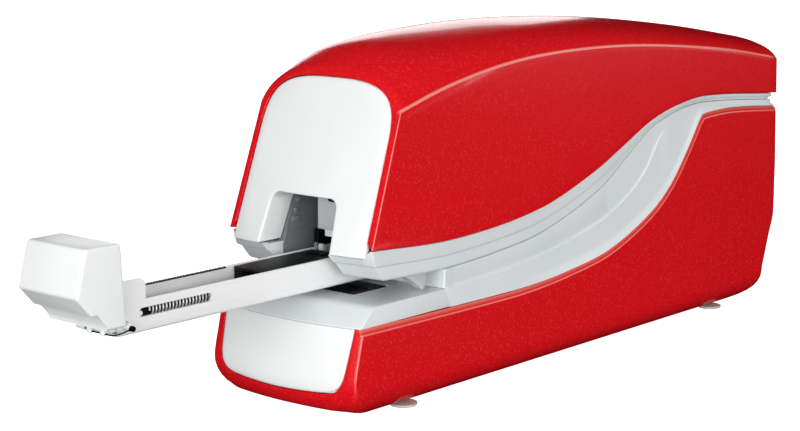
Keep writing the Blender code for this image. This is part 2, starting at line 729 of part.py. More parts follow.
def gear_train():
    wheel, motor = shaft_places()
    crank = STROKE / 2
    # The cam gear has a tooth towards the wheel's pinion, which has a gap there, and so on down the train.
    to_wheel = math.radians(CAM_TO_WHEEL_DEG)
    to_motor = math.radians(WHEEL_TO_MOTOR_DEG)
    cam = prism(gear_outline(CAM_YZ, SECOND_MODULE, CAM_TEETH, to_wheel), "X", 21.0, 23.2)
    gear = make("cam_gear", *cam, "gear_plastic", pivot=(0, *CAM_YZ))
    combine(gear, make_cutter("cam_bore", *prism(circle(CAM_YZ, 2.1, 12), "X", 20, 24)))
    shaft = stack([circle(CAM_YZ, r, 12) for r in (1.8, 1.8)], "X", (9.3, 23.0))
    make("cam_shaft", *shaft, "steel", pivot=(0, *CAM_YZ), smooth=40)
    plate = prism(circle(CAM_YZ, 8.0, 20), "X", 7.0, 9.0)
    disc = make("crank_disc", *plate, "steel", pivot=(0, *CAM_YZ), smooth=40)
    pin = prism(circle((CAM_YZ[0], CAM_YZ[1] + crank), 1.5, 10), "X", 4.8, 7.5)
    combine(disc, make_cutter("crank_pin", *pin), "UNION")

    small_phase = to_wheel + math.pi + math.pi / SMALL_TEETH
    small = gear_outline(wheel, SECOND_MODULE, SMALL_TEETH, small_phase)
    large = gear_outline(wheel, FIRST_MODULE, WHEEL_TEETH, to_motor)
    compound = make("reduction_gear", *prism(large, "X", 18.0, 20.2), "gear_plastic", pivot=(0, *wheel))
    combine(compound, make_cutter("small_teeth", *prism(small, "X", 19.5, 23.2)), "UNION")
    combine(compound, make_cutter("wheel_bore", *prism(circle(wheel, 1.6, 12), "X", 17, 25)))
    make("reduction_shaft", *prism(circle(wheel, 1.3, 12), "X", 14.6, 23.6), "steel", smooth=40)

    pinion_phase = to_motor + math.pi + math.pi / PINION_TEETH
    pinion = gear_outline(motor, FIRST_MODULE, PINION_TEETH, pinion_phase)
    make("motor_pinion", *prism(pinion, "X", 17.8, 20.4), "brass", pivot=(0, *motor))
    profile = ((3.0, -15.6), (3.0, -14.6), (12.0, -14.4), (12.0, 14.4), (4.0, 14.6), (4.0, 15.8))
    can = stack([circle(motor, r, 20) for r, _ in profile], "X", [x for _, x in profile])
    make("motor", *can, "steel", smooth=40)


def chassis():
    wheel, motor = shaft_places()
    outline = [(24, 48.5), (88, 48.5), (88, 84), (66, 92), (44, 92), (24, 84)]
    for side in (-1, 1):
        name = "chassis_" + ("left" if side < 0 else "right")
        x0, x1 = sorted((side * 16.2, side * 17.4))
        plate = make(name, *prism(outline, "X", x0, x1), "steel")
        if side > 0:
            for tag, place, radius in (("cam", CAM_YZ, 2.2), ("wheel", wheel, 1.6), ("motor", motor, 4.5)):
                hole = prism(circle(place, radius, 12), "X", 15, 19)
                combine(plate, make_cutter(tag + "_hole", *hole))
    frame = [(-15.9, 49), (-14.7, 49), (-14.7, 90), (14.7, 90), (14.7, 49), (15.9, 49), (15.9, 91.2),
             (-15.9, 91.2)]
    make("chassis_bridge", *prism(frame, "Y", 38.0, 46.0), "steel")

    guide = [(-9.4, 33.4), (-7.7, 33.4), (-7.7, 44.2), (7.7, 44.2), (7.7, 33.4), (9.4, 33.4), (9.4, 46.8),
             (-9.4, 46.8)]
    rail = make("magazine_guide", *prism(guide, "Y", 24.0, 112.0), "black_plastic")
    combine(rail, make_cutter("latch_slot", *box(-3.5, 3.5, 103.5, 110.5, 40, 50)))
    for side in (-1, 1):
        name = "entry_guide_" + ("left" if side < 0 else "right")
        x0, x1 = sorted((side * 7.75, side * 9.6))
        make(name, *box(x0, x1, 16.6, 23.6, 36.2, 47.0), "black_plastic")

    half_pocket = [(NOTCH_HALF, 60.2), (NOTCH_HALF, 40.6), (14.2, 40.6), (14.2, 62)]
    pocket = half_pocket + [(-x, z) for x, z in reversed(half_pocket)]
    housing = make("head_frame", *prism(pocket, "Y", 6.6, 23.6), "dark_grey")
    combine(housing, make_cutter("driver_gate", *box(-6.8, 6.8, 13.0, 30, 55, 70)))
    combine(housing, make_cutter("lean", *prism([(0, 40), (4.4, 40), (11.0, 63), (0, 63)], "X", -20, 20)))


def drawer_latch():
    """Lever whose hook drops behind the channel's bar when the drawer is home, and lifts to free it."""
    pivot = (0, 96.5, 50.0)
    outline = [(94.0, 48.0), (98.0, 47.3), (105.0, 47.3), (105.6, 41.6), (108.0, 41.6), (109.0, 46.0),
               (108.6, 52.0), (94.4, 52.5)]
    latch = make("drawer_latch", *prism(outline, "X", -2.5, 2.5), "light_grey", pivot=pivot)
    combine(latch, make_cutter("latch_bore", *prism(circle(pivot[1:], 1.4, 10), "X", -4, 4)))
    make("latch_pin", *prism(circle(pivot[1:], 1.0, 10), "X", -7.0, 7.0), "steel")


def trigger():
    pivot = (0, 11.6, 43.6)
    bow = [(13.5 + 11.5 * t, 38.4 - 5.9 * t ** 1.6) for t in (0, 0.25, 0.5, 0.75, 1)]
    outline = bow + [(26.2, 38.5), (26.4, 44.6), (20.0, 46.2), (10.2, 45.8), (9.4, 43.0), (10.6, 41.2)]
    lever = make("paper_trigger", *prism(outline, "X", 20.3, 23.7), "light_grey", pivot=pivot)
    combine(lever, make_cutter("trigger_bore", *prism(circle(pivot[1:], 1.2, 8), "X", 19, 25)))
    make("trigger_pin", *prism(circle(pivot[1:], 0.8, 8), "X", 19.0, 24.1), "steel")
    make("trigger_switch", *box(19.6, 24.0, 27.4, 39.6, 42.0, 48.6), "black_plastic")


# ---- electrics ----

def electrics():
    board = make("circuit_board", *box(-19, 19, 118, 178, 79.0, 80.6), "board")
    combine(board, make_cutter("board_slot", *box(-4, 4, 110, 124, 70, 90)))
    make("capacitor", *prism(circle((10, 134), 4.0, 14), "Z", 80.9, 90.0), "black_plastic", smooth=40)
    make("power_relay", *box(-14, -3, 140, 155, 80.9, 88.5), "black_plastic")

    tray_low = 5.9
    top = tray_low + 4 * CELL_RADIUS + 3.4
    wall = rectangle(-17.2, 17.2, BAY_Y[0] + 0.3, BAY_Y[1] - 0.3)
    tray = make("battery_tray", *prism(wall, "Z", tray_low, top), "black_plastic")
    hollow = box(-15.4, 15.4, BAY_Y[0] + 1.6, BAY_Y[1] - 1.6, 0, top - 1.6)
    combine(tray, make_cutter("tray_hollow", *hollow))
    middle = 0.5 * (BAY_Y[0] + BAY_Y[1])
    number = 0
    for row in range(2):
        for x in (-CELL_RADIUS - 0.2, CELL_RADIUS + 0.2):
            number += 1
            z = tray_low + 1.0 + CELL_RADIUS + row * (2 * CELL_RADIUS + 0.4)
            flip = 1 if x > 0 else -1
            shape = ((CELL_RADIUS, -flip * CELL_LENGTH / 2), (CELL_RADIUS, flip * (CELL_LENGTH / 2 - 1)),
                     (2.7, flip * (CELL_LENGTH / 2 - 0.9)), (2.7, flip * CELL_LENGTH / 2))
            outlines = [circle((x, z), r, 14) for r, _ in shape]
            cell = stack(outlines, "Y", [middle + along for _, along in shape])
            make("battery_cell_" + str(number), *cell, "cell", smooth=40)
    for name, y in (("front", BAY_Y[0] + 2.0), ("rear", BAY_Y[1] - 2.4)):
        make("contact_plate_" + name, *box(-14.6, 14.6, y, y + 0.4, tray_low + 2, top - 3), "steel")


def clear_scene():
    for obj in list(bpy.data.objects):
        bpy.data.objects.remove(obj)


def main():
    clear_scene()
    upper_shell()
    front_panel()
    lower_shell()
    lower_front_panel()
    head_trim()
    middle_body()
    deck()
    anvil_plate()
    base()
    feet()
    magazine()
    driver()
    gear_train()
    chassis()
    drawer_latch()
    trigger()
    electrics()


main()
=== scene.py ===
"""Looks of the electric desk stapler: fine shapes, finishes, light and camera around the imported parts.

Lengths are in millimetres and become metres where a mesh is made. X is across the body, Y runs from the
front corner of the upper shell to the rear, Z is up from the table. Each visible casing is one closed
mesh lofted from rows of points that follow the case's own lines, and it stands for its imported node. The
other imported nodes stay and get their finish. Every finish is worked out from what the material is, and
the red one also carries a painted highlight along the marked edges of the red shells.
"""
import logging
import math
from collections.abc import Callable, Sequence
from dataclasses import dataclass, field
from enum import Enum

import bmesh
import bpy
import numpy as np
from mathutils import Matrix, Vector


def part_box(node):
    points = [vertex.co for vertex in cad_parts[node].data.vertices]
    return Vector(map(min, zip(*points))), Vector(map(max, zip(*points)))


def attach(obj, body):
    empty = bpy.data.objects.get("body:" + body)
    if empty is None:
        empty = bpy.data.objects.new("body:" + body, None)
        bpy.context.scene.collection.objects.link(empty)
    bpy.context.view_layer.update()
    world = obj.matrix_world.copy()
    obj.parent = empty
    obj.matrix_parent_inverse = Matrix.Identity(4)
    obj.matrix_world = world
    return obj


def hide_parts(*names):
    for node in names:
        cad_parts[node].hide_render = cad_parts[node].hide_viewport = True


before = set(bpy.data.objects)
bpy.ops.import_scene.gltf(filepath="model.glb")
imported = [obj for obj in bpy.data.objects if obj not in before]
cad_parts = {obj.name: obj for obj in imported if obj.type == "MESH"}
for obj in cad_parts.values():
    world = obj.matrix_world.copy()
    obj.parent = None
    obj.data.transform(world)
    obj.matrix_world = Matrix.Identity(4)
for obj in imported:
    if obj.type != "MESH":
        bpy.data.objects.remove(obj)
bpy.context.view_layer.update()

log = logging.getLogger("stapler")

MM = 0.001
PAINTED_HIGHLIGHT = "painted_highlight"                     # attribute that holds the share of painted highlight at a mesh point
GAP = 0.3                                   # air between neighbouring casings
SHELL_WALL = 2.0                            # wall of both red shells
SOFT_ANGLE = 50.0                           # edges between faces at a larger angle are rounded
REAR_Y = 213.0                              # rear of the case behind the upper shell's front corner
FRONT_CORNER_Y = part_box("upper_shell")[1].y / MM - REAR_Y

Point = tuple[float, float, float]
Flat = tuple[float, float]
Limits = tuple[Flat, Flat, Flat]
Rows = list[list[Point]]
Line = Callable[[float], float]


# ---- names that the record knows ----

class Body(Enum):
    """Moving bodies of the record that pieces here ride on."""

    HOUSING = "housing"
    DRAWER = "drawer"
    CAP = "cap"
    PUSHER = "pusher"
    DRIVER = "driver"
    TRIGGER = "trigger"
    HATCH = "hatch"


class Slot(Enum):
    """Material slots of the record."""

    RED = "red_shell"
    WHITE = "white_panel"
    LIGHT_GREY = "light_grey_plastic"
    DARK_GREY = "dark_grey_plastic"
    BLACK = "black_plastic"
    STEEL = "bright_steel"
    BLACK_STEEL = "black_steel"
    RUBBER = "foot_rubber"
    GEAR = "gear_plastic"
    BRASS = "brass"
    BOARD = "green_board"
    CELL = "battery_can"


# ---- finishes ----

def linear(hex_colour: str) -> tuple[float, float, float, float]:
    """Turn an sRGB hex colour into linear RGBA.

    Args:
        hex_colour: six hex digits after a hash sign.

    Returns:
        Linear red, green, blue and an alpha of one.
    """
    channels = [int(hex_colour[i:i + 2], 16) / 255 for i in (1, 3, 5)]
    red, green, blue = (c / 12.92 if c <= 0.04045 else ((c + 0.055) / 1.055) ** 2.4 for c in channels)
    return red, green, blue, 1.0


def per_metre(size_mm: float) -> float:
    """Return the texture scale that gives a pattern this size in millimetres."""
    return 1 / (size_mm * MM)


def add_node(tree: bpy.types.NodeTree, kind: str, settings: dict | None = None,
             inputs: dict | None = None) -> bpy.types.Node:
    """Add a node with its settings and its inputs.

    Args:
        tree: the node tree that takes the node.
        kind: the node's type name.
        settings: attributes to set on the node.
        inputs: socket name or number to a constant, or to another node's output socket.

    Returns:
        The new node.
    """
    made = tree.nodes.new(kind)
    for name, value in (settings or {}).items():
        setattr(made, name, value)
    for name, value in (inputs or {}).items():
        if isinstance(value, bpy.types.NodeSocket):
            tree.links.new(value, made.inputs[name])
        else:
            made.inputs[name].default_value = value
    return made


def noise(tree: bpy.types.NodeTree, place: bpy.types.NodeSocket, size_mm: float,
          detail: float) -> bpy.types.NodeSocket:
    """Add a noise texture and return its factor.

    Args:
        tree: the node tree that takes the texture.
        place: object coordinates in metres.
        size_mm: size of the pattern.
        detail: number of finer layers.

    Returns:
        The texture's factor output.
    """
    return add_node(tree, "ShaderNodeTexNoise", {}, {
        "Vector": place, "Scale": per_metre(size_mm), "Detail": detail}).outputs["Fac"]


def relief(tree: bpy.types.NodeTree, shader: bpy.types.Node, height: bpy.types.NodeSocket, strength: float,
           depth_mm: float) -> None:
    """Drive a shader's normal from a height.

    Args:
        tree: the material's node tree.
        shader: its principled shader.
        height: socket from 0 to 1.
        strength: strength of the effect.
        depth_mm: depth that a height of one stands for.
    """
    bump = add_node(tree, "ShaderNodeBump", {}, {
        "Height": height, "Strength": strength, "Distance": depth_mm * MM})
    tree.links.new(bump.outputs["Normal"], shader.inputs["Normal"])


def ramp(tree: bpy.types.NodeTree, factor: bpy.types.NodeSocket,
         stops: Sequence[tuple[float, str]]) -> bpy.types.NodeSocket:
    """Add a colour ramp between sRGB hex colours and return its colour socket.

    Args:
        tree: the node tree that takes the ramp.
        factor: socket that drives the ramp.
        stops: position and hex colour of each stop.

    Returns:
        The ramp's colour output.
    """
    made = add_node(tree, "ShaderNodeValToRGB", {}, {"Fac": factor})
    elements = made.color_ramp.elements
    while len(elements) < len(stops):
        elements.new(0.5)
    for element, (position, colour) in zip(elements, stops):
        element.position = position
        element.color = linear(colour)
    return made.outputs["Color"]


@dataclass(frozen=True)
class Finish:
    """A finish whose shader starts from typical values of its material.

    Attributes:
        name: the material's common name and how it was made.
        slot: the record's material slot that it belongs to.
        colour: sRGB hex of the surface.
        roughness: middle roughness.
        metallic: share of bare metal, low where a clear passivation covers it.
        ior: index of refraction, kept at Blender's default for a metal.
        coat: weight of the gloss layer on top.
        gloss: level of the base's own reflection, one half for the full strength of its index.
    """

    name: str
    slot: Slot
    colour: str
    roughness: float
    metallic: float = 0.0
    ior: float = 1.5
    coat: float = 0.0
    gloss: float = 0.5

    def material(self) -> bpy.types.Material:
        """Return the finish's material, made on first use."""
        found = bpy.data.materials.get(self.name)
        if found is not None:
            return found
        made = bpy.data.materials.new(self.name)
        made.use_nodes = True
        tree = made.node_tree
        shader = tree.nodes["Principled BSDF"]
        shader.inputs["Metallic"].default_value = self.metallic
        shader.inputs["IOR"].default_value = self.ior
        shader.inputs["Coat Weight"].default_value = self.coat
        shader.inputs["Specular IOR Level"].default_value = self.gloss
        shader.inputs["Coat Roughness"].default_value = 0.04
        place = add_node(tree, "ShaderNodeTexCoord").outputs["Object"]
        self.dress(tree, shader, place)
        made.diffuse_color = linear(self.colour)
        return made

    def dress(self, tree: bpy.types.NodeTree, shader: bpy.types.Node, place: bpy.types.NodeSocket) -> None:
        """Connect colour, roughness and relief.

        Args:
            tree: the material's node tree.
            shader: its principled shader.
            place: object coordinates in metres.
        """
        raise NotImplementedError

    def vary_roughness(self, tree: bpy.types.NodeTree, shader: bpy.types.Node, factor: bpy.types.NodeSocket,
                       spread: float) -> None:
        """Drive roughness between its middle value less and plus a spread.

        Args:
            tree: the material's node tree.
            shader: its principled shader.
            factor: socket from 0 to 1.
            spread: half the range of roughness.
        """
        span = add_node(tree, "ShaderNodeMapRange", {}, {
            "Value": factor, "To Min": self.roughness - spread, "To Max": self.roughness + spread})
        tree.links.new(span.outputs["Result"], shader.inputs["Roughness"])


@dataclass(frozen=True)
class MouldedPlastic(Finish):
    """Injection-moulded plastic: the mould's texture gives fine grain, and cooling gives faint clouding.

    Attributes:
        grain_mm: size of the mould's texture.
        relief_mm: depth of that texture.
        cloud: hex colour of the slightly darker clouds.
        cloud_mm: size of the clouds.
    """

    grain_mm: float = 0.5
    relief_mm: float = 0.01
    cloud: str = "#E8EAEA"
    cloud_mm: float = 30.0

    def dress(self, tree: bpy.types.NodeTree, shader: bpy.types.Node, place: bpy.types.NodeSocket) -> None:
        """Connect clouding to the colour and the mould's grain to roughness and relief."""
        clouds = noise(tree, place, self.cloud_mm, 2.0)
        tone = ramp(tree, clouds, ((0.35, self.cloud), (0.65, self.colour)))
        tree.links.new(tone, shader.inputs["Base Color"])
        grain = noise(tree, place, self.grain_mm, 3.0)
        self.vary_roughness(tree, shader, grain, 0.05)
        relief(tree, shader, grain, 0.6, self.relief_mm)


@dataclass(frozen=True)
class FleckedPlastic(Finish):
    """Glossy plastic coloured right through with aluminium flake: the flakes glint as pale specks.

    Attributes:
        deep: hex colour of the pigment between flakes.
        fleck: hex colour of a flake that faces the light.
        fleck_mm: size of a flake; real ones are under 0.1 mm and are drawn coarser so that they show.
        fleck_share: strength of the flakes over the pigment.
        edge: hex colour of the painted highlight along the marked sharp edges.
        peel_mm: size of the gloss layer's orange peel.
        peel_depth_mm: depth of the orange peel.
    """

    deep: str = "#BE0D17"
    fleck: str = "#FF7A6A"
    fleck_mm: float = 0.42
    fleck_share: float = 0.1
    edge: str = "#F7A294"
    peel_mm: float = 1.6
    peel_depth_mm: float = 0.004

    def dress(self, tree: bpy.types.NodeTree, shader: bpy.types.Node, place: bpy.types.NodeSocket) -> None:
        """Scatter flakes over the pigment, paint a highlight along the marked edges and give the gloss a
        faint orange peel.
        """
        flakes = add_node(tree, "ShaderNodeTexVoronoi", {}, {
            "Vector": place, "Scale": per_metre(self.fleck_mm)})
        pick = add_node(tree, "ShaderNodeSeparateColor", {}, {"Color": flakes.outputs["Color"]})
        tone = ramp(tree, pick.outputs["Red"], (
            (0.0, self.deep), (0.3, self.colour), (0.84, self.colour), (0.97, self.fleck)))
        base = add_node(tree, "ShaderNodeMix", {"data_type": "RGBA"}, {
            "Factor": self.fleck_share, 6: linear(self.colour), 7: tone})
        # painted highlight: the marked edges are mixed towards the pale edge colour
        rim = add_node(tree, "ShaderNodeAttribute", {"attribute_name": PAINTED_HIGHLIGHT})
        highlighted = add_node(tree, "ShaderNodeMix", {"data_type": "RGBA"}, {
            "Factor": rim.outputs["Fac"], 6: base.outputs[2], 7: linear(self.edge)})
        tree.links.new(highlighted.outputs[2], shader.inputs["Base Color"])
        self.vary_roughness(tree, shader, pick.outputs["Green"], 0.015)
        peel = noise(tree, place, self.peel_mm, 1.0)
        height = add_node(tree, "ShaderNodeMath", {"operation": "MULTIPLY_ADD"}, {
            0: pick.outputs["Blue"], 1: 0.12, 2: peel})
        relief(tree, shader, height.outputs["Value"], 0.3, self.peel_depth_mm)


@dataclass(frozen=True)
class RolledSteel(Finish):
    """Cold-rolled sheet with its coating: rolling leaves faint lines along the sheet's length.

    Attributes:
        dull: hex colour of the duller patches of the coating.
        line_mm: width of a rolling line.
        run_mm: length of a rolling line.
        line_depth_mm: depth of a rolling line.
    """

    dull: str = "#D6D7DA"
    line_mm: float = 0.35
    run_mm: float = 18.0
    line_depth_mm: float = 0.003

    def dress(self, tree: bpy.types.NodeTree, shader: bpy.types.Node, place: bpy.types.NodeSocket) -> None:
        """Draw the rolling lines into colour, roughness and relief."""
        stretch = add_node(tree, "ShaderNodeMapping", {}, {
            "Vector": place,
            "Scale": (per_metre(self.line_mm), per_metre(self.run_mm), per_metre(self.line_mm))})
        lines = add_node(tree, "ShaderNodeTexNoise", {}, {
            "Vector": stretch.outputs["Vector"], "Scale": 1.0, "Detail": 4.0}).outputs["Fac"]
        tone = ramp(tree, lines, ((0.3, self.dull), (0.7, self.colour)))
        tree.links.new(tone, shader.inputs["Base Color"])
        self.vary_roughness(tree, shader, lines, 0.03)
        relief(tree, shader, lines, 0.2, self.line_depth_mm)


# Glossy ABS with flake: deep clear red with pale specks and a painted highlight along its sharp edges
RED_ABS = FleckedPlastic("abs_red_flake_moulded", Slot.RED, "#DC101A", 0.24, coat=0.2, gloss=0.22)
# Moulded ABS, polished mould: clean white with a soft gloss
WHITE_ABS = MouldedPlastic("abs_white_moulded", Slot.WHITE, "#F4F5F5", 0.3, cloud="#EFF1F1", relief_mm=0.004)
# The same ABS with a little grey pigment, on the bands along the side
PALE_ABS = MouldedPlastic("abs_pale_grey_moulded", Slot.WHITE, "#E4E8E9", 0.36, cloud="#DFE4E5",
                          relief_mm=0.004)
# Acetal for sliding parts: light grey, waxy, with low gloss
GREY_ACETAL = MouldedPlastic("acetal_light_grey_moulded", Slot.LIGHT_GREY, "#C9CDCF", 0.42, ior=1.48,
                             cloud="#C0C5C7", relief_mm=0.006)
# Spark-eroded mould: matt mid grey for the frame inside the head
DARK_ABS = MouldedPlastic("abs_dark_grey_spark_grained", Slot.DARK_GREY, "#7F8487", 0.5,
                          cloud="#767B7E", grain_mm=0.35, relief_mm=0.03)
# The same mould texture on the darker pieces of the underside
BASE_ABS = MouldedPlastic("abs_base_grey_spark_grained", Slot.DARK_GREY, "#54585A", 0.6,
                          cloud="#4C5052", grain_mm=0.35, relief_mm=0.03)
# Black acetal: satin, nearly no diffuse light
BLACK_ACETAL = MouldedPlastic("acetal_black_moulded", Slot.BLACK, "#0B0C0D", 0.45, ior=1.48, gloss=0.15,
                              cloud="#070808", relief_mm=0.006)
# Natural acetal of the gears: milky ivory
IVORY_ACETAL = MouldedPlastic("acetal_natural_moulded", Slot.GEAR, "#E6E2D6", 0.42, ior=1.48,
                              cloud="#DCD8CA", relief_mm=0.005)
# Thermoplastic rubber of the feet: milky and dull
MILKY_RUBBER = MouldedPlastic("rubber_milky_moulded", Slot.RUBBER, "#DAD8D2", 0.65, ior=1.52,
                              cloud="#CFCDC6", grain_mm=0.4, relief_mm=0.02)
# Solder mask over copper: dark green lacquer with a soft shine
SOLDER_MASK = MouldedPlastic("solder_mask_green", Slot.BOARD, "#1E6B3A", 0.35, cloud="#195C32", cloud_mm=6.0)
# Printed foil round the cells, left plain: dark and slightly shiny
CELL_FOIL = RolledSteel("foil_dark_cell_wrap", Slot.CELL, "#5A5E66", 0.35, metallic=0.6, dull="#4C5058")
# Zinc-plated sheet under a clear passivation: bright, with lines along the rolling direction
ZINC_STEEL = RolledSteel("steel_zinc_plated_rolled", Slot.STEEL, "#FBFBFB", 0.3, metallic=0.05,
                         dull="#F4F5F6")
# Music wire with nickel: more metallic than the passivated sheet
SPRING_WIRE = RolledSteel("steel_wire_nickel_drawn", Slot.STEEL, "#F2F2F3", 0.3, metallic=0.5,
                          dull="#E6E6E8")
# Blackened steel: oxide over ground sheet
BLACK_OXIDE = RolledSteel("steel_blackened_ground", Slot.BLACK_STEEL, "#232427", 0.34, metallic=1.0,
                          dull="#17181A")
# Cut brass of the pinion
CUT_BRASS = RolledSteel("brass_cut", Slot.BRASS, "#D8B667", 0.3, metallic=1.0, dull="#C9A655")


# ---- lines of the case ----

def smooth_line(*points: Flat) -> Line:
    """Return a function whose value runs smoothly through the given (position, value) points."""
    slopes = []
    for i in range(len(points)):
        before, after = points[max(i - 1, 0)], points[min(i + 1, len(points) - 1)]
        slopes.append((after[1] - before[1]) / (after[0] - before[0]))

    def value(position: float) -> float:
        """Return the line's value at a position, held constant past its ends."""
        position = min(max(position, points[0][0]), points[-1][0])
        i = 0
        while i < len(points) - 2 and position > points[i + 1][0]:
            i += 1
        width = points[i + 1][0] - points[i][0]
        t = (position - points[i][0]) / width
        rise = (3 * t ** 2 - 2 * t ** 3) * (points[i + 1][1] - points[i][1])
        bend = (t ** 3 - 2 * t ** 2 + t) * slopes[i] + (t ** 3 - t ** 2) * slopes[i + 1]
        return points[i][1] + rise + bend * width

    return value


def ease(position: float, low: float, high: float) -> float:
    """Return 0 below low, 1 above high and a smooth rise between them."""
    t = min(max((position - low) / (high - low), 0.0), 1.0)
    return t * t * (3 - 2 * t)


def slope(line: Line, position: float) -> float:
    """Return the slope of a line at a position."""
    reach = 0.5
    return (line(position + reach) - line(position - reach)) / (2 * reach)


def blend_points(a: Point, b: Point, share: float) -> Point:
    """Return the point a share of the way from a to b."""
    return tuple(p + share * (q - p) for p, q in zip(a, b))


def towards(a: Point, b: Point, distance: float) -> Point:
    """Return the point at a distance from a on the way to b."""
    gap = math.dist(a, b)
    return blend_points(a, b, distance / gap if gap > 0 else 0)


def bezier(controls: Sequence[Sequence[float]], share: float) -> tuple[float, ...]:
    """Return the point at a share of a Bezier curve with any number of controls."""
    points = [tuple(c) for c in controls]
    while len(points) > 1:
        points = [tuple(a + share * (b - a) for a, b in zip(p, q)) for p, q in zip(points, points[1:])]
    return points[0]


def resample(outline: Sequence[Flat], shares: Sequence[float]) -> list[Flat]:
    """Return points at shares of an open outline's length."""
    line = np.array(outline, float)
    steps = np.r_[0, np.cumsum(np.linalg.norm(np.diff(line, axis=0), axis=1))]
    at = np.array(shares) * steps[-1]
    return [(float(np.interp(s, steps, line[:, 0])), float(np.interp(s, steps, line[:, 1]))) for s in at]


def length_shares(outline: Sequence[Flat]) -> list[float]:
    """Return each point's share of an open outline's length."""
    line = np.array(outline, float)
    steps = np.r_[0, np.cumsum(np.linalg.norm(np.diff(line, axis=0), axis=1))]
    return list(steps / steps[-1])


def mirrored(half: Sequence[Sequence[float]]) -> list:
    """Return a row from its right half, whose last point lies on the middle."""
    return list(half) + [(-p[0], *p[1:]) for p in reversed(half[:-1])]


@dataclass(frozen=True)
class CaseLines:
    """Outer skin of the case: its widths and the lines seen from the side and in front.

    Attributes:
        half_width: half the width of the sides below the crease.
        crease_half_width: the same at the crease, where the sides have leaned in.
        underside_z: height of the lower shell's underside.
        edge_radius: rounding between the sides and the underside.
        front_bulge: how far the upper front swells forward at its middle.
        lower_bulge: the same for the lower front.
        front_lean: how far the upper front runs back for each millimetre up.
        front_foot_z: height where the upper front starts.
        upper_edge: height of the upper shell's lower edge along Y.
        band_edge: height of the band's lower edge along Y.
        lower_edge: height of the lower shell's top rim along Y.
        crease: height of the crease between side and roof along Y.
        crest: height of the roof's middle along Y.
        lower_front: Y of the lower front over height.
        rear_line: Y of the rear face over height, which may pass the flat rear a little.
    """

    half_width: float = 26.9
    crease_half_width: float = 25.8
    underside_z: float = 1.2
    edge_radius: float = 8.0
    front_bulge: float = 2.1
    lower_bulge: float = 3.6
    front_lean: float = 0.36
    front_foot_z: float = 47.5
    upper_edge: Line = smooth_line((0, 47.5), (36, 45.9), (75, 49.1), (103, 56.8), (119, 63.2), (134, 69.3),
                                   (150, 73.0), (168, 74.5), (213, 71.4))
    band_edge: Line = smooth_line((5, 38.3), (32, 37.6), (55, 38.7), (79, 41.6), (108, 50.7), (122, 58.6),
                                  (137, 66.9), (152, 71.0), (168, 72.2), (213, 69.2))
    lower_edge: Line = smooth_line((-4, 26.6), (48, 26.1), (70, 26.3), (91, 28.0), (112, 31.3), (134, 39.6),
                                   (146, 47.7), (157, 59.4), (163.5, 67.6), (165.5, 68.5), (183, 68.9),
                                   (213, 66.8))
    crease: Line = smooth_line((11, 83.0), (34, 88.7), (61, 93.0), (90, 94.5), (127, 93.6), (175, 89.2),
                               (213, 83.5))
    crest: Line = smooth_line((14.9, 93.9), (23, 98.8), (34, 101.0), (55, 102.5), (82, 103.2), (125, 101.5),
                              (173, 96.5), (213, 90.5))
    lower_front: Line = smooth_line((1.2, 4.0), (2.2, -1.5), (4.5, -4.8), (9, -6.7), (13, -6.7), (20, -5.1),
                                    (26.9, -3.4))
    rear_line: Line = smooth_line((1.2, 188.0), (2.7, 197.7), (5.9, 204.2), (11.6, 206.6), (21.7, 210.1),
                                  (30, REAR_Y), (95, REAR_Y))

    def rear(self, z: float) -> float:
        """Return Y of the rear face at a height."""
        return min(self.rear_line(z), REAR_Y)

    def side_x(self, z: float) -> float:
        """Return half the width of the body at a height."""
        turn = self.underside_z + self.edge_radius
        if z < turn:
            drop = turn - max(z, self.underside_z)
            return self.half_width - self.edge_radius + math.sqrt(self.edge_radius ** 2 - drop ** 2)
        taper = min(max((z - self.front_foot_z) / 45, 0), 1)
        return self.half_width - (self.half_width - self.crease_half_width) * taper

    def swell(self, x: float, depth: float) -> float:
        """Return how far a front swells forward at x for its depth at the middle."""
        return depth * (1 - (x / self.half_width) ** 2)

    def upper_front(self, x: float, z: float) -> float:
        """Return Y of the upper front."""
        return self.front_lean * (z - self.front_foot_z) - self.swell(x, self.front_bulge)

    def lip_front(self, x: float, z: float) -> float:
        """Return Y of the lip under the upper front, which runs back as it goes down."""
        lean = 0.85 * (45.2 - z) if z < 45.2 else self.front_lean * (z - 45.2)
        return -0.6 + lean - self.swell(x, self.front_bulge)

    def low_front(self, x: float, z: float) -> float:
        """Return Y of the lower front."""
        return self.lower_front(z) - self.swell(x, self.lower_bulge)


LINES = CaseLines()


# ---- mesh work ----

@dataclass
class Solid:
    """Points and faces of a closed mesh, with a share of painted highlight at some of its points."""

    points: list[Point] = field(default_factory=list)
    faces: list[list[int]] = field(default_factory=list)
    highlight_shares: dict[int, float] = field(default_factory=dict)

    def mark(self, row: int, column: int, columns: int, share: float) -> None:
        """Give a point of the first grid and its mirror image a share of painted highlight."""
        for place in (column, columns - 1 - column):
            self.highlight_shares[row * columns + place] = share

    def add_grid(self, rows: Rows, wrap_rows: bool = False, wrap_columns: bool = False) -> int:
        """Add a grid of rows.

        Args:
            rows: rows with the same number of points.
            wrap_rows: whether the last row joins the first.
            wrap_columns: whether each row is a closed loop.

        Returns:
            Number of the grid's first point.
        """
        base, width = len(self.points), len(rows[0])
        self.points += [p for row in rows for p in row]
        for r in range(len(rows) if wrap_rows else len(rows) - 1):
            after = (r + 1) % len(rows)
            for c in range(width if wrap_columns else width - 1):
                d = (c + 1) % width
                self.faces.append([base + r * width + c, base + r * width + d,
                                   base + after * width + d, base + after * width + c])
        return base


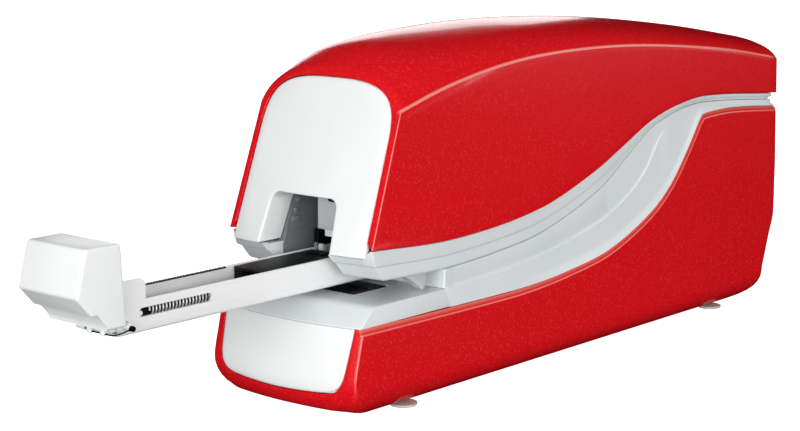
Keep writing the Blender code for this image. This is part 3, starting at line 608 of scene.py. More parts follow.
def arch_solid(outer: Rows, inner: Rows, fill_first: bool = False, fill_last: bool = False) -> Solid:
    """Close the space between two matching sets of arches.

    Args:
        outer: rows of the visible skin.
        inner: rows behind them, one for each.
        fill_first: whether the first arches are filled up to the line between their ends.
        fill_last: the same for the last arches.

    Returns:
        The closed solid.
    """
    solid = Solid()
    width, count = len(outer[0]), len(outer)
    front, back = solid.add_grid(outer), solid.add_grid(inner)
    for c in (0, width - 1):
        for r in range(count - 1):
            a, b = r * width + c, (r + 1) * width + c
            solid.faces.append([front + a, front + b, back + b, back + a])
    for row, fill in ((0, fill_first), (count - 1, fill_last)):
        a, b = front + row * width, back + row * width
        if fill:
            solid.faces.append(list(range(a, a + width)))
            solid.faces.append(list(range(b, b + width)))
            solid.faces.append([a, a + width - 1, b + width - 1, b])
        else:
            for c in range(width - 1):
                solid.faces.append([a + c, a + c + 1, b + c + 1, b + c])
    return solid


def prism(outline: Sequence[Flat], axis: str, low: float, high: float) -> Solid:
    """Push an outline along an axis: (y, z) along X, (x, z) along Y or (x, y) along Z."""
    return loft([outline, outline], axis, (low, high))


def loft(outlines: Sequence[Sequence[Flat]], axis: str, positions: Sequence[float]) -> Solid:
    """Join outlines with the same number of points along an axis into a closed solid."""
    order = {"X": (2, 0, 1), "Y": (0, 2, 1), "Z": (0, 1, 2)}[axis]
    solid = Solid()
    rows = [[tuple((a, b, c)[k] for k in order) for a, b in outline]
            for outline, c in zip(outlines, positions)]
    solid.add_grid(rows, wrap_columns=True)
    count = len(outlines[0])
    solid.faces.append(list(range(count)))
    solid.faces.append(list(range(len(solid.points) - count, len(solid.points))))
    return solid


def rectangle(a0: float, a1: float, b0: float, b1: float) -> list[Flat]:
    """Return the corners of a rectangle."""
    return [(a0, b0), (a1, b0), (a1, b1), (a0, b1)]


def block(x: Flat, y: Flat, z: Flat) -> Solid:
    """Return a plain block between limits, to be softened or used as a cutter."""
    return prism(rectangle(*x, *y), "Z", *z)


def circle(centre: Flat, radius: float, sides: int = 32) -> list[Flat]:
    """Return points around a circle."""
    return [(centre[0] + radius * math.cos(2 * math.pi * i / sides),
             centre[1] + radius * math.sin(2 * math.pi * i / sides)) for i in range(sides)]


def rounded(corners: Sequence[Flat], radii: float | Sequence[float], steps: int = 5) -> list[Flat]:
    """Return an outline whose corners are arcs.

    Args:
        corners: the corners in order.
        radii: one radius, or one for each corner.
        steps: steps of each arc.

    Returns:
        The outline's points.
    """
    sizes = [radii] * len(corners) if isinstance(radii, (int, float)) else list(radii)
    outline = []
    for i, (corner, radius) in enumerate(zip(corners, sizes)):
        here = Vector(corner)
        back = (Vector(corners[i - 1]) - here).normalized()
        ahead = (Vector(corners[(i + 1) % len(corners)]) - here).normalized()
        half = back.angle(ahead) / 2
        reach = radius / math.tan(half)
        centre = here + (back + ahead).normalized() * (radius / math.sin(half))
        start = here + back * reach - centre
        sweep = start.angle_signed(here + ahead * reach - centre)
        outline += [tuple(centre + Matrix.Rotation(-sweep * k / steps, 2) @ start) for k in range(steps + 1)]
    return outline


def slot_outline(a0: float, a1: float, b0: float, b1: float, steps: int = 12) -> list[Flat]:
    """Return an outline with two round ends, long in its first direction."""
    radius, middle = (b1 - b0) / 2, (b0 + b1) / 2
    outline = []
    for centre, start in ((a1 - radius, -math.pi / 2), (a0 + radius, math.pi / 2)):
        for k in range(steps + 1):
            angle = start + math.pi * k / steps
            outline.append((centre + radius * math.cos(angle), middle + radius * math.sin(angle)))
    return outline


def turned(profile: Sequence[Flat], centre: Flat, axis: str, sides: int = 40) -> Solid:
    """Turn a profile of (radius, position) about an axis through a centre."""
    return loft([circle(centre, r, sides) for r, _ in profile], axis, [p for _, p in profile])


def tube(path: Sequence[Point], radius: float, sides: int = 8) -> Solid:
    """Return a round wire along a path of points."""
    rows, side = [], None
    for i, point in enumerate(path):
        here = Vector(point)
        ahead = (Vector(path[min(i + 1, len(path) - 1)]) - Vector(path[max(i - 1, 0)])).normalized()
        side = ahead.orthogonal() if side is None else side
        side = (side - ahead * side.dot(ahead)).normalized()
        up = ahead.cross(side)
        turns = [2 * math.pi * k / sides for k in range(sides)]
        rows.append([tuple(here + side * radius * math.cos(t) + up * radius * math.sin(t)) for t in turns])
    solid = Solid()
    solid.add_grid(rows, wrap_columns=True)
    solid.faces.append(list(range(sides)))
    solid.faces.append(list(range(len(solid.points) - sides, len(solid.points))))
    return solid


def in_frame(point: Sequence[float]) -> Vector:
    """Turn a point of the case in millimetres into the frame's metres."""
    return Vector((point[0], point[1] + FRONT_CORNER_Y, point[2])) * MM


def build_object(name: str, solid: Solid) -> bpy.types.Object:
    """Make a mesh object from a solid, with its normals facing out."""
    bm = bmesh.new()
    layer = bm.verts.layers.float.new(PAINTED_HIGHLIGHT)
    verts = [bm.verts.new(in_frame(p)) for p in solid.points]
    # painted highlight: each marked point gets its share in the mesh attribute
    for i, share in solid.highlight_shares.items():
        verts[i][layer] = share
    for face in solid.faces:
        bm.faces.new([verts[i] for i in face])
    bmesh.ops.remove_doubles(bm, verts=bm.verts, dist=1e-6)
    bmesh.ops.recalc_face_normals(bm, faces=bm.faces)
    mesh = bpy.data.meshes.new(name)
    bm.to_mesh(mesh)
    bm.free()
    obj = bpy.data.objects.new(name, mesh)
    bpy.context.scene.collection.objects.link(obj)
    return obj


def bake_modifiers(obj: bpy.types.Object) -> None:
    """Put the result of an object's modifiers into its mesh."""
    mesh = bpy.data.meshes.new_from_object(obj.evaluated_get(bpy.context.evaluated_depsgraph_get()))
    obj.modifiers.clear()
    obj.data = mesh


def soften(obj: bpy.types.Object, width: float, angle: float = 40.0, segments: int = 3) -> None:
    """Round an object's sharp edges.

    Args:
        obj: the object to round.
        width: width of the rounding in millimetres.
        angle: least angle in degrees between faces that get it.
        segments: steps of the rounding.
    """
    bevel = obj.modifiers.new("soften", "BEVEL")
    bevel.width = width * MM
    bevel.segments = segments
    bevel.limit_method = "ANGLE"
    bevel.angle_limit = math.radians(angle)
    bake_modifiers(obj)


def carve(obj: bpy.types.Object, tool: Solid, operation: str = "DIFFERENCE") -> None:
    """Cut a solid out of an object, or join it on.

    Args:
        obj: the object to change.
        tool: the solid to cut or join with.
        operation: name of the Boolean operation.
    """
    cutter = build_object("tool", tool)
    boolean = obj.modifiers.new("carve", "BOOLEAN")
    boolean.operation = operation
    boolean.solver = "EXACT"
    boolean.object = cutter
    bake_modifiers(obj)
    bpy.data.objects.remove(cutter)


def smooth(obj: bpy.types.Object, angle: float = 32.0) -> None:
    """Shade an object smooth, but for edges sharper than an angle in degrees."""
    obj.data.shade_smooth()
    obj.data.set_sharp_from_angle(angle=math.radians(angle))


def fit(obj: bpy.types.Object, finish: Finish, body: Body, *nodes: str, angle: float = 32.0) -> None:
    """Finish a piece and fix it to its body.

    Args:
        obj: the piece.
        finish: what it is made of.
        body: the body that it rides on.
        nodes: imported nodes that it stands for.
        angle: edges sharper than this stay sharp.
    """
    smooth(obj, angle)
    obj.data.materials.clear()
    obj.data.materials.append(finish.material())
    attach(obj, body.value)
    if nodes:
        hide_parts(*nodes)
    log.info("%s rides on %s, made of %s", obj.name, body.value, finish.name)


def make_piece(name: str, solid: Solid, finish: Finish, body: Body, *nodes: str, softness: float = 0.0,
               segments: int = 3, angle: float = 32.0) -> None:
    """Make a piece that needs no cutting: build, soften, finish and fix it.

    Args:
        name: the piece's name.
        solid: its shape.
        finish: what it is made of.
        body: the body that it rides on.
        nodes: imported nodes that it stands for.
        softness: width of its edges' rounding in millimetres, or zero for none.
        segments: steps of the rounding.
        angle: edges sharper than this stay sharp.
    """
    obj = build_object(name, solid)
    if softness:
        soften(obj, softness, SOFT_ANGLE, segments)
    fit(obj, finish, body, *nodes, angle=angle)


# ---- upper case ----

@dataclass
class UpperCase:
    """Red upper shell with the white panel in its front."""

    side_columns: int = 14
    arc_columns: int = 16
    ledge: float = 0.5                      # width of the rounding along the crease
    rim_edge: float = 0.45                  # rounding between the side and the front
    crown_edge: float = 1.7                 # the same over the crest
    rear_edge: float = 3.6                  # rounding round the rear face
    return_depth: float = 9.0               # depth of the sleeve round the drawer's mouth
    notch_half: float = 12.3
    notch_top: float = 59.3
    notch_radius: float = 3.0
    notch_draft: float = 0.9                # how much wider the mouth is at its foot, on each side
    panel_foot: float = 45.3
    panel_thickness: float = 2.2
    sleeve_wall: float = 1.3

    def half_section(self, y: float, inset: float) -> list[Flat]:
        """Return the right half of the roof's cross-section at Y, from its lower edge to the crest."""
        low, turn, top = LINES.upper_edge(y), LINES.crease(y) - 0.6 * inset, LINES.crest(y) - inset
        corner = LINES.crease_half_width - inset
        below = turn - self.ledge
        side = [low + (below - low) * k / self.side_columns for k in range(self.side_columns + 1)]
        half = [(LINES.side_x(z) - inset, z) for z in side]
        rise = top - turn
        arc = [(corner, turn), (corner - 2, turn + 0.62 * rise), (14, top - 0.02 * rise), (0, top)]
        above = bezier(arc, 0.03)
        bend = [half[-1], (corner, turn), above]
        half += [bezier(bend, t) for t in (0.33, 0.67)]
        half += [bezier(arc, 0.03 + 0.97 * k / self.arc_columns) for k in range(self.arc_columns + 1)]
        return half

    def row(self, share: float, inset: float = 0.0) -> list[Point]:
        """Return a row of the roof.

        Args:
            share: place between the front face, 0, and the rear face, 1.
            inset: depth below the outer skin, at both ends as well.

        Returns:
            The row's points from the right lower edge over the crest to the left one.
        """
        half = []
        for index in range(len(self.half_section(0, 0))):
            y = share * REAR_Y
            for _ in range(7):
                x, z = self.half_section(y, inset)[index]
                front = LINES.upper_front(x, z) + inset
                y = front + share * (REAR_Y - inset - front)
            half.append((x, y, z))
        return mirrored(half)

    def edge_radius(self, column: int, columns: int, low: float, high: float) -> float:
        """Return the rounding at a column, low along the sides and high over the crest."""
        from_middle = abs(2 * column / (columns - 1) - 1)
        return low + (high - low) * ease(1 - from_middle, 0.42, 0.72)

    def opening(self, grow: float) -> list[Flat]:
        """Return the right half of the front opening's outline, grown all round, from foot to crest."""
        side = [(24.55 + grow - 0.024 * (z - 47.5), z) for z in np.linspace(self.panel_foot, 75, 15)]
        start = side[-1]
        arc = [start, (23.7 + grow, 86.6), (20.3 + grow, 91.4 + grow), (0, 90.95 + grow)]
        return side + [bezier(arc, k / 24) for k in range(1, 25)]

    def build(self) -> None:
        """Make the shell and its panel."""
        self.shell()
        self.panel()

    def shell(self) -> None:
        """Make the red shell: rear face, roof, rounded front edge and the rim round the opening."""
        face = self.row(0.0)
        columns = len(face)
        rear = self.row(1.0)
        middle = (0.0, REAR_Y, LINES.upper_edge(REAR_Y))
        near, far = self.row(0.03), self.row(0.97)
        flat = [(p[0], p[2]) for p in face[:columns // 2 + 1]]
        rim_outline = [p for p in self.opening(GAP) if p[1] >= LINES.front_foot_z]
        rim_half = resample(rim_outline, length_shares(flat))
        rim = [(x, LINES.upper_front(x, z), z) for x, z in mirrored(rim_half)]
        outer, inner = [], []
        inner_rear, inner_face = self.row(1.0, SHELL_WALL), self.row(0.0, SHELL_WALL)
        inner_middle = (0.0, REAR_Y - SHELL_WALL, LINES.upper_edge(REAR_Y))
        for t in (0.94, 0.8, 0.6, 0.4, 0.25):
            outer.append([blend_points(p, middle, t) for p in rear])
            inner.append([blend_points(p, inner_middle, t) for p in inner_rear])
        bends = [[], [], [], [], []]
        for c, corner in enumerate(rear):
            radius = self.edge_radius(c, columns, 1.2, self.rear_edge)
            arms = [towards(corner, middle, radius), corner, towards(corner, far[c], radius)]
            for k, points in enumerate(bends):
                points.append(bezier(arms, k / 4))
        outer += bends
        inner += [[blend_points(p, inner_middle, 0.05 * (4 - k)) for p in inner_rear]
                  for k in range(len(bends))]
        for share in np.linspace(0.972, 0.016, 64):
            outer.append(self.row(share))
            inner.append(self.row(share, SHELL_WALL))
        bends = [[], [], [], [], []]
        for c, corner in enumerate(face):
            radius = self.edge_radius(c, columns, self.rim_edge, self.crown_edge)
            arms = [towards(corner, near[c], radius), corner, towards(corner, rim[c], radius)]
            for k, points in enumerate(bends):
                points.append(bezier(arms, k / 4))
        outer += bends
        inner_rim = [(x, y + 1.6, z) for x, y, z in rim]
        inner += [[blend_points(p, q, 0.08 * k) for p, q in zip(inner_face, inner_rim)]
                  for k in range(1, 1 + len(bends))]
        for t in (0.35, 0.7, 0.93, 1.0):
            row = []
            for p, q in zip(bends[-1], rim):
                x, _, z = blend_points(p, q, t)
                sink = 0.15 * ease(t, 0.9, 1.0)
                row.append((x, LINES.upper_front(x, z) + sink, z))
            outer.append(row)
            inner.append([blend_points(p, q, 0.4 + 0.6 * t) for p, q in zip(inner_face, inner_rim)])
        solid = arch_solid(outer, inner, fill_first=True)
        self.paint_edge_highlights(solid, columns, len(outer))
        shell = build_object("upper_shell_skin", solid)
        soften(shell, 0.4, 60)
        fit(shell, RED_ABS, Body.HOUSING, "upper_shell", angle=40)

    def paint_edge_highlights(self, solid: Solid, columns: int, rows: int) -> None:
        """Mark the crease and the front edge of the sides, which take the painted highlight."""
        crease = self.side_columns + 1
        front = rows - 4 - 3
        for r in range(10, rows - 4):
            for c in (crease, crease + 1):
                solid.mark(r, c, columns, 0.8 - 0.6 * ease(r, front - 1, front + 2))
        for c in range(crease + 1):
            solid.mark(front, c, columns, 0.7)
            solid.mark(front - 1, c, columns, 0.35)

    def notch(self, grow: float) -> list[Flat]:
        """Return the right half of the drawer mouth's outline, from its foot to its middle."""
        x, top, r = self.notch_half + grow, self.notch_top + grow, self.notch_radius + grow
        low, draft = self.panel_foot, self.notch_draft
        foot = [(x + draft * (1 - k / 12), low + (top - r - low) * k / 12) for k in range(13)]
        turns = np.linspace(0, math.pi / 2, 10)[1:]
        arc = [(x - r * (1 - math.cos(a)), top - r * (1 - math.sin(a))) for a in turns]
        return foot + arc + [((x - r) * (1 - k / 8), top) for k in range(1, 9)]

    def panel(self) -> None:
        """Make the white panel as a band between its outline and the drawer's mouth, with a deep sleeve."""
        outline = self.opening(0.0)
        shares = length_shares(outline)
        mouth = resample(self.notch(0.0), shares)
        sleeve = resample(self.notch(self.sleeve_wall), shares)

        def lay(flat: Sequence[Flat], depth: float) -> list[Point]:
            """Lay an outline on the front face at a depth behind it."""
            return mirrored([(x, LINES.upper_front(x, z) + depth, z) for x, z in flat])

        def between(a: Sequence[Flat], b: Sequence[Flat], distance: float) -> list[Flat]:
            """Move an outline a distance towards another."""
            return [towards(p, q, distance) for p, q in zip(a, b)]

        back = self.panel_thickness
        outer, inner = [lay(outline, 1.9)], [lay(between(outline, mouth, 1.0), back)]
        for distance, depth in ((0.0, 0.75), (0.12, 0.5), (0.4, 0.36), (1.0, 0.27), (1.9, 0.16), (3.0, 0.07),
                                (4.4, 0.01)):
            outer.append(lay(between(outline, mouth, distance), depth))
            inner.append(lay(between(outline, mouth, 1.2 + distance), back))
        start, below = between(outline, mouth, 4.6), between(outline, mouth, 5.8)
        for t in np.linspace(0.05, 0.85, 10):
            outer.append(lay([blend_points(p, q, t) for p, q in zip(start, mouth)], 0.0))
            inner.append(lay([blend_points(p, q, t) for p, q in zip(below, sleeve)], back))
        for distance, depth in ((0.75, 0.0), (0.35, 0.07), (0.12, 0.3), (0.0, 0.75)):
            outer.append(lay(between(mouth, outline, distance), depth))
        inner += [lay(between(sleeve, outline, 0.3 - 0.1 * k), back) for k in range(4)]
        for depth in (3.0, 5.5, self.return_depth):
            outer.append(lay(mouth, depth))
            inner.append(lay(sleeve, depth))
        panel = build_object("front_panel_skin", arch_solid(outer, inner))
        soften(panel, 0.35, 60)
        fit(panel, WHITE_ABS, Body.HOUSING, "front_panel", angle=40)


# ---- lower case ----

@dataclass
class LowerCase:
    """Red lower shell, shaped like a tub, with the white panel in its front."""

    side_columns: int = 22
    arc_columns: int = 8
    bottom_columns: int = 5
    chamfer_in: float = 0.95                # how far the top rim's chamfer runs in
    chamfer_down: float = 1.35              # and down the side
    rim_edge: float = 0.45
    chin_edge: float = 3.6                  # what is added to that rounding under the front
    rear_edge: float = 1.8

    def half_section(self, y: float, inset: float) -> list[Point]:
        """Return the right half of the cross-section at Y from the top rim to the middle of the underside.

        Args:
            y: place along the body.
            inset: depth below the outer skin.

        Returns:
            Points as (x, step along Y, z); the step keeps the chamfer square to the rim.
        """
        edge = LINES.lower_edge(y)
        lean = slope(LINES.lower_edge, y)
        scale = math.hypot(1, lean)
        along, down = lean / scale, 1 / scale
        half = []
        outer = inset == 0
        profile = ((self.chamfer_in, 0.0), (self.chamfer_in - 0.12, 0.03), (0.14, self.chamfer_down - 0.2),
                   (0.0, self.chamfer_down + 0.12), (0.0, self.chamfer_down + 0.5))
        for reach, drop in profile:
            inward = reach if outer else 0.0
            z = edge - drop * down
            half.append((LINES.side_x(z) - inset - inward, drop * along, z))
        turn = LINES.underside_z + LINES.edge_radius
        start = half[-1][2]
        for k in range(1, self.side_columns + 1):
            z = start + (turn - start) * k / self.side_columns
            fade = 1 - ease(k, 0, 4)
            half.append((LINES.side_x(z) - inset, half[4][1] * fade, z))
        radius = LINES.edge_radius - inset
        centre = LINES.half_width - LINES.edge_radius
        for k in range(1, self.arc_columns + 1):
            angle = math.pi / 2 * k / self.arc_columns
            half.append((centre + radius * math.cos(angle), 0.0, turn - radius * math.sin(angle)))
        for k in range(1, self.bottom_columns + 1):
            half.append((centre * (1 - k / self.bottom_columns), 0.0, turn - radius))
        return half

    def row(self, share: float, inset: float = 0.0) -> list[Point]:
        """Return a row at a share of the way from the front face to the rear face."""
        half = []
        for index in range(len(self.half_section(0, 0))):
            y = share * REAR_Y
            for _ in range(7):
                x, step, z = self.half_section(y, inset)[index]
                front = LINES.low_front(x, z) + inset
                y = front + share * (LINES.rear(z) - inset - front)
            ends = ease(share, 0.0, 0.02) * (1 - ease(share, 0.95, 0.99))
            half.append((x, y + step * ends, z))
        return mirrored(half)

    def opening(self, grow: float, top: float) -> list[Flat]:
        """Return the right half of the front opening's outline from its top to the middle of its foot."""
        side = [(24.0 + grow - 0.08 * max(25 - z, 0), z) for z in np.linspace(top, 15, 10)]
        corner = [side[-1], (22.5 + grow, 9.4 - grow), (19.8, 8.9 - grow), (14.5, 8.6 - grow)]
        foot = [(14.5, 8.6 - grow), (9, 8.25 - grow), (0, 8.1 - grow)]
        turn = [bezier(corner, k / 14) for k in range(1, 15)]
        return side + turn + [bezier(foot, k / 6) for k in range(1, 7)]

    def build(self) -> None:
        """Make the shell and its panel."""
        self.shell()
        self.panel()

    def shell(self) -> None:
        """Make the red tub: rear face, sides and underside, front edge and the rim round the opening."""
        face, rear = self.row(0.0), self.row(1.0)
        near, far = self.row(0.031), self.row(0.97)
        inner_face, inner_rear = self.row(0.0, SHELL_WALL), self.row(1.0, SHELL_WALL)
        columns = len(face)
        top = LINES.lower_edge(REAR_Y)
        flat = [(p[0], p[2]) for p in face[:columns // 2 + 1]]
        shares = length_shares(flat)
        rim_half = resample(self.opening(GAP, face[0][2]), shares)
        rim = mirrored([(x, LINES.low_front(x, z), z) for x, z in rim_half])
        outer, inner = [], []
        for t in (0.95, 0.8, 0.62, 0.46, 0.33, 0.22, 0.14):
            outer.append([self.on_rear(blend_points(p, (0, 0, top), t), 0.0) for p in rear])
            inner.append([self.on_rear(blend_points(p, (0, 0, top), t), SHELL_WALL) for p in inner_rear])
        bends = [[], [], [], [], [], []]
        for c, corner in enumerate(rear):
            radius = 0.8 + (self.rear_edge - 0.8) * ease(corner[2], 2.0, 12.0)
            inward = self.on_rear(towards(corner, (0, corner[1], max(corner[2], 12.0)), radius), 0.0)
            arms = [inward, corner, towards(corner, far[c], radius)]
            for k, points in enumerate(bends):
                points.append(bezier(arms, k / 5))
        outer += bends
        inner += [[self.on_rear(blend_points(p, (0, 0, top), 0.02 * (5 - k)), SHELL_WALL)
                   for p in inner_rear] for k in range(len(bends))]
        for share in np.linspace(0.972, 0.03, 65):
            outer.append(self.row(share))
            inner.append(self.row(share, SHELL_WALL))
        bends = [[], [], [], [], []]
        for c, corner in enumerate(face):
            radius = self.rim_edge + self.chin_edge * (1 - ease(corner[2], 1.5, 13.0))
            inward = self.on_front(towards(corner, rim[c], radius), 0.0)
            arms = [towards(corner, near[c], radius), corner, inward]
            for k, points in enumerate(bends):
                points.append(bezier(arms, k / 4))
        outer += bends
        inner_rim = [(x, y + 1.6, z) for x, y, z in rim]
        inner += [[blend_points(p, q, 0.06 * k) for p, q in zip(inner_face, inner_rim)]
                  for k in range(1, 1 + len(bends))]
        for t in (0.12, 0.28, 0.46, 0.64, 0.82, 0.95, 1.0):
            sink = 0.15 * ease(t, 0.9, 1.0)
            outer.append([self.on_front(blend_points(p, q, t), sink) for p, q in zip(bends[-1], rim)])
            inner.append([blend_points(p, q, 0.3 + 0.7 * t) for p, q in zip(inner_face, inner_rim)])
        solid = arch_solid(outer, inner, fill_first=True)
        self.paint_edge_highlights(solid, columns, len(outer))
        shell = build_object("lower_shell_skin", solid)
        soften(shell, 0.3, 60)
        underside = rounded(rectangle(-17.0, 17.0, 4.0, 185.5), 5)
        carve(shell, prism(underside, "Z", -1, 3.6))
        fit(shell, RED_ABS, Body.HOUSING, "lower_shell", angle=40)

    def on_rear(self, point: Point, inset: float) -> Point:
        """Put a point on the rear face at its height."""
        return point[0], LINES.rear(point[2]) - inset, point[2]

    def on_front(self, point: Point, sink: float) -> Point:
        """Put a point on the front face at its place."""
        return point[0], LINES.low_front(point[0], point[2]) + sink, point[2]

    def paint_edge_highlights(self, solid: Solid, columns: int, rows: int) -> None:
        """Mark both edges of the top rim's chamfer and the front edge of the sides, which take the painted
        highlight.
        """
        front = rows - 7 - 3
        for r in range(7, rows - 7):
            for c, share in ((0, 0.3), (1, 0.5), (3, 0.6)):
                solid.mark(r, c, columns, share)
        for c in range(3, 4 + self.side_columns + 3):
            fade = 1 - ease(c, self.side_columns - 4, self.side_columns + 6)
            solid.mark(front, c, columns, 0.7 * fade)
            solid.mark(front - 1, c, columns, 0.35 * fade)

    def panel(self) -> None:
        """Make the white panel as arches that shrink to the middle of its top edge."""
        top = 26.45
        outline = resample(self.opening(0.0, top), np.linspace(0, 1, 36))
        middle = (0.0, top)

        def lay(flat: Sequence[Flat], depth: float) -> list[Point]:
            """Lay an outline on the front face at a depth behind it."""
            return mirrored([(x, LINES.low_front(x, z) + depth, z) for x, z in flat])

        def shrunk(distance: float) -> list[Flat]:
            """Return the outline a distance closer to its middle."""
            return [(p[0] * (1 - distance / 24), p[1] + (top - p[1]) * distance / 18) for p in outline]

        outer = [lay(outline, 1.7), lay(outline, 0.45), lay(shrunk(0.12), 0.15), lay(shrunk(0.45), 0.0)]
        inner = [lay(shrunk(0.6 + 0.1 * k), 1.8) for k in range(4)]
        for t in np.linspace(0.06, 0.94, 16):
            flat = [blend_points(p, middle, t) for p in outline]
            outer.append(lay(flat, 0.0))
            inner.append(lay([blend_points(p, middle, max(t, 0.05)) for p in shrunk(0.9)], 1.8))
        panel = build_object("lower_front_panel_skin", arch_solid(outer, inner, fill_last=True))
        soften(panel, 0.25, 60)
        fit(panel, WHITE_ABS, Body.HOUSING, "lower_front_panel", angle=40)


# ---- bands between the shells ----

@dataclass
class RingLoops:
    """Loops round the body in plan, each following a height and an inset that may change along Y."""

    front: Callable[[float, float], float]
    corner: float = 0.6                     # rounding of the front corners
    rear_corner: float = 4.0
    sides: int = 76

    def loop(self, height: Callable[[float, float], float], inset: Callable[[float], float]) -> list[Point]:
        """Return a closed loop.

        Args:
            height: Z over (x, y).
            inset: depth behind the case's outer skin over Y.

        Returns:
            Points from the front middle round the right side, the rear and the left side.
        """
        half = []
        stations = [("front", k / 14) for k in range(14)] + [("corner", k / 4) for k in range(5)]
        stations += [("side", k / self.sides) for k in range(1, self.sides)]
        stations += [("rear_corner", k / 5) for k in range(6)] + [("rear", k / 5) for k in range(1, 6)]
        for kind, value in stations:
            x = LINES.half_width * (value if kind == "front" else 1)
            y = {"side": 100.0, "rear_corner": REAR_Y, "rear": REAR_Y}.get(kind, 0.0)
            for _ in range(8):
                z = height(x, y)
                depth = inset(y)
                wide, back = LINES.side_x(z) - depth, LINES.rear(z) - depth
                start = self.front(wide, z) + depth
                if kind == "front":
                    x = value * (wide - self.corner)
                    y = self.front(x, z) + depth
                elif kind == "corner":
                    inner = wide - self.corner
                    first = (inner, self.front(inner, z) + depth)
                    arms = [first, (wide, start), (wide, start + self.corner)]
                    x, y = bezier(arms, value)
                elif kind == "side":
                    first, last = start + self.corner, back - self.rear_corner
                    x, y = wide, first + value * (last - first)
                elif kind == "rear_corner":
                    arms = [(wide, back - self.rear_corner), (wide, back), (wide - self.rear_corner, back)]
                    x, y = bezier(arms, value)
                else:
                    x, y = (1 - value) * (wide - self.rear_corner), back
            half.append((x, y, height(x, y)))
        return half + [(-x, y, z) for x, y, z in reversed(half[1:-1])]


def ring_solid(rows: Rows) -> Solid:
    """Return a closed ring from loops listed once round its wall's cross-section."""
    solid = Solid()
    solid.add_grid(rows, wrap_rows=True, wrap_columns=True)
    return solid


@dataclass
class HeadBand:
    """Pale band under the upper shell with its lip at the front, and the floor of the head behind it."""

    inset: float = 0.6
    step: float = 0.75                      # how far the lower strip stands behind the upper one
    thickness: float = 1.3
    floor_z: Flat = (38.4, 40.0)
    web_z: Flat = (38.5, 44.5)
    web_rear_y: float = 8.7
    trigger_well: Limits = ((19.8, 24.2), (8.0, 28.6), (36.0, 44.0))

    def top(self, x: float, y: float) -> float:
        """Return the height of the band's top edge, lower where the front panel covers it."""
        side = LINES.upper_edge(y) - GAP
        inside = 1 - ease(abs(x), 24.9, 25.6)
        return side + (44.95 - side) * inside * (1 - ease(y, 14, 20))

    def split(self, x: float, y: float) -> float:
        """Return the height of the line between the two strips."""
        return LINES.band_edge(y) + 0.5 * (LINES.upper_edge(y) - LINES.band_edge(y)) - 0.4

    def foot(self, x: float, y: float) -> float:
        """Return the height of the band's lower edge."""
        return LINES.band_edge(y) - 0.07

    def build(self) -> None:
        """Make the band, cut the drawer's mouth into its lip and add the floor and the lip's webs."""
        loops = RingLoops(LINES.lip_front)
        deep = self.inset + self.step
        back = deep + self.thickness
        profile = ((self.top, 0.0, self.inset), (self.split, 0.55, self.inset),
                   (self.split, 0.25, self.inset + 0.08), (self.split, 0.05, self.inset + 0.3),
                   (self.split, -0.05, deep), (self.foot, 0.9, deep), (self.foot, 0.35, deep + 0.08),
                   (self.foot, 0.08, deep + 0.3), (self.foot, 0.0, deep + 0.6), (self.foot, 0.0, back),
                   (self.top, 0.0, back))
        rows = [loops.loop(lambda x, y, h=height, r=rise: h(x, y) + r, lambda y, d=depth: d)
                for height, rise, depth in profile]
        band = build_object("head_band", ring_solid(rows))
        mouth = UpperCase.notch_half
        carve(band, block((-mouth, mouth), (-8, 14.9), (30, 60)))
        carve(band, block(*self.trigger_well))
        fit(band, PALE_ABS, Body.HOUSING, "head_trim", angle=36)
        for side, name in ((-1, "left"), (1, "right")):
            self.web(side, name)
            outline = [(side * x, y) for x, y in ((mouth, 8.9), (25.0, 8.9), (25.0, 30.6), (10.2, 30.6),
                                                  (10.2, 15.0), (mouth, 15.0))]
            floor = build_object("head_floor_" + name, prism(outline, "Z", *self.floor_z))
            if side > 0:
                carve(floor, block(*self.trigger_well))
            soften(floor, 0.3, SOFT_ANGLE)
            fit(floor, PALE_ABS, Body.HOUSING)

    def web(self, side: int, name: str) -> None:
        """Make the solid return behind the lip beside the drawer's mouth.

        Args:
            side: -1 for left and 1 for right.
            name: the side's name.
        """
        outlines, positions = [], []
        low, high = self.web_z
        rear = self.web_rear_y
        for x in np.linspace(UpperCase.notch_half + 0.02, 19.4, 6):
            front_low, front_high = (LINES.lip_front(x, z) + 1.6 for z in self.web_z)
            outlines.append([(front_low, low), (rear, low), (rear, high), (front_high, high)])
            positions.append(side * x)
        web = loft(outlines, "X", positions)
        make_piece("lip_return_" + name, web, PALE_ABS, Body.HOUSING, softness=0.3)


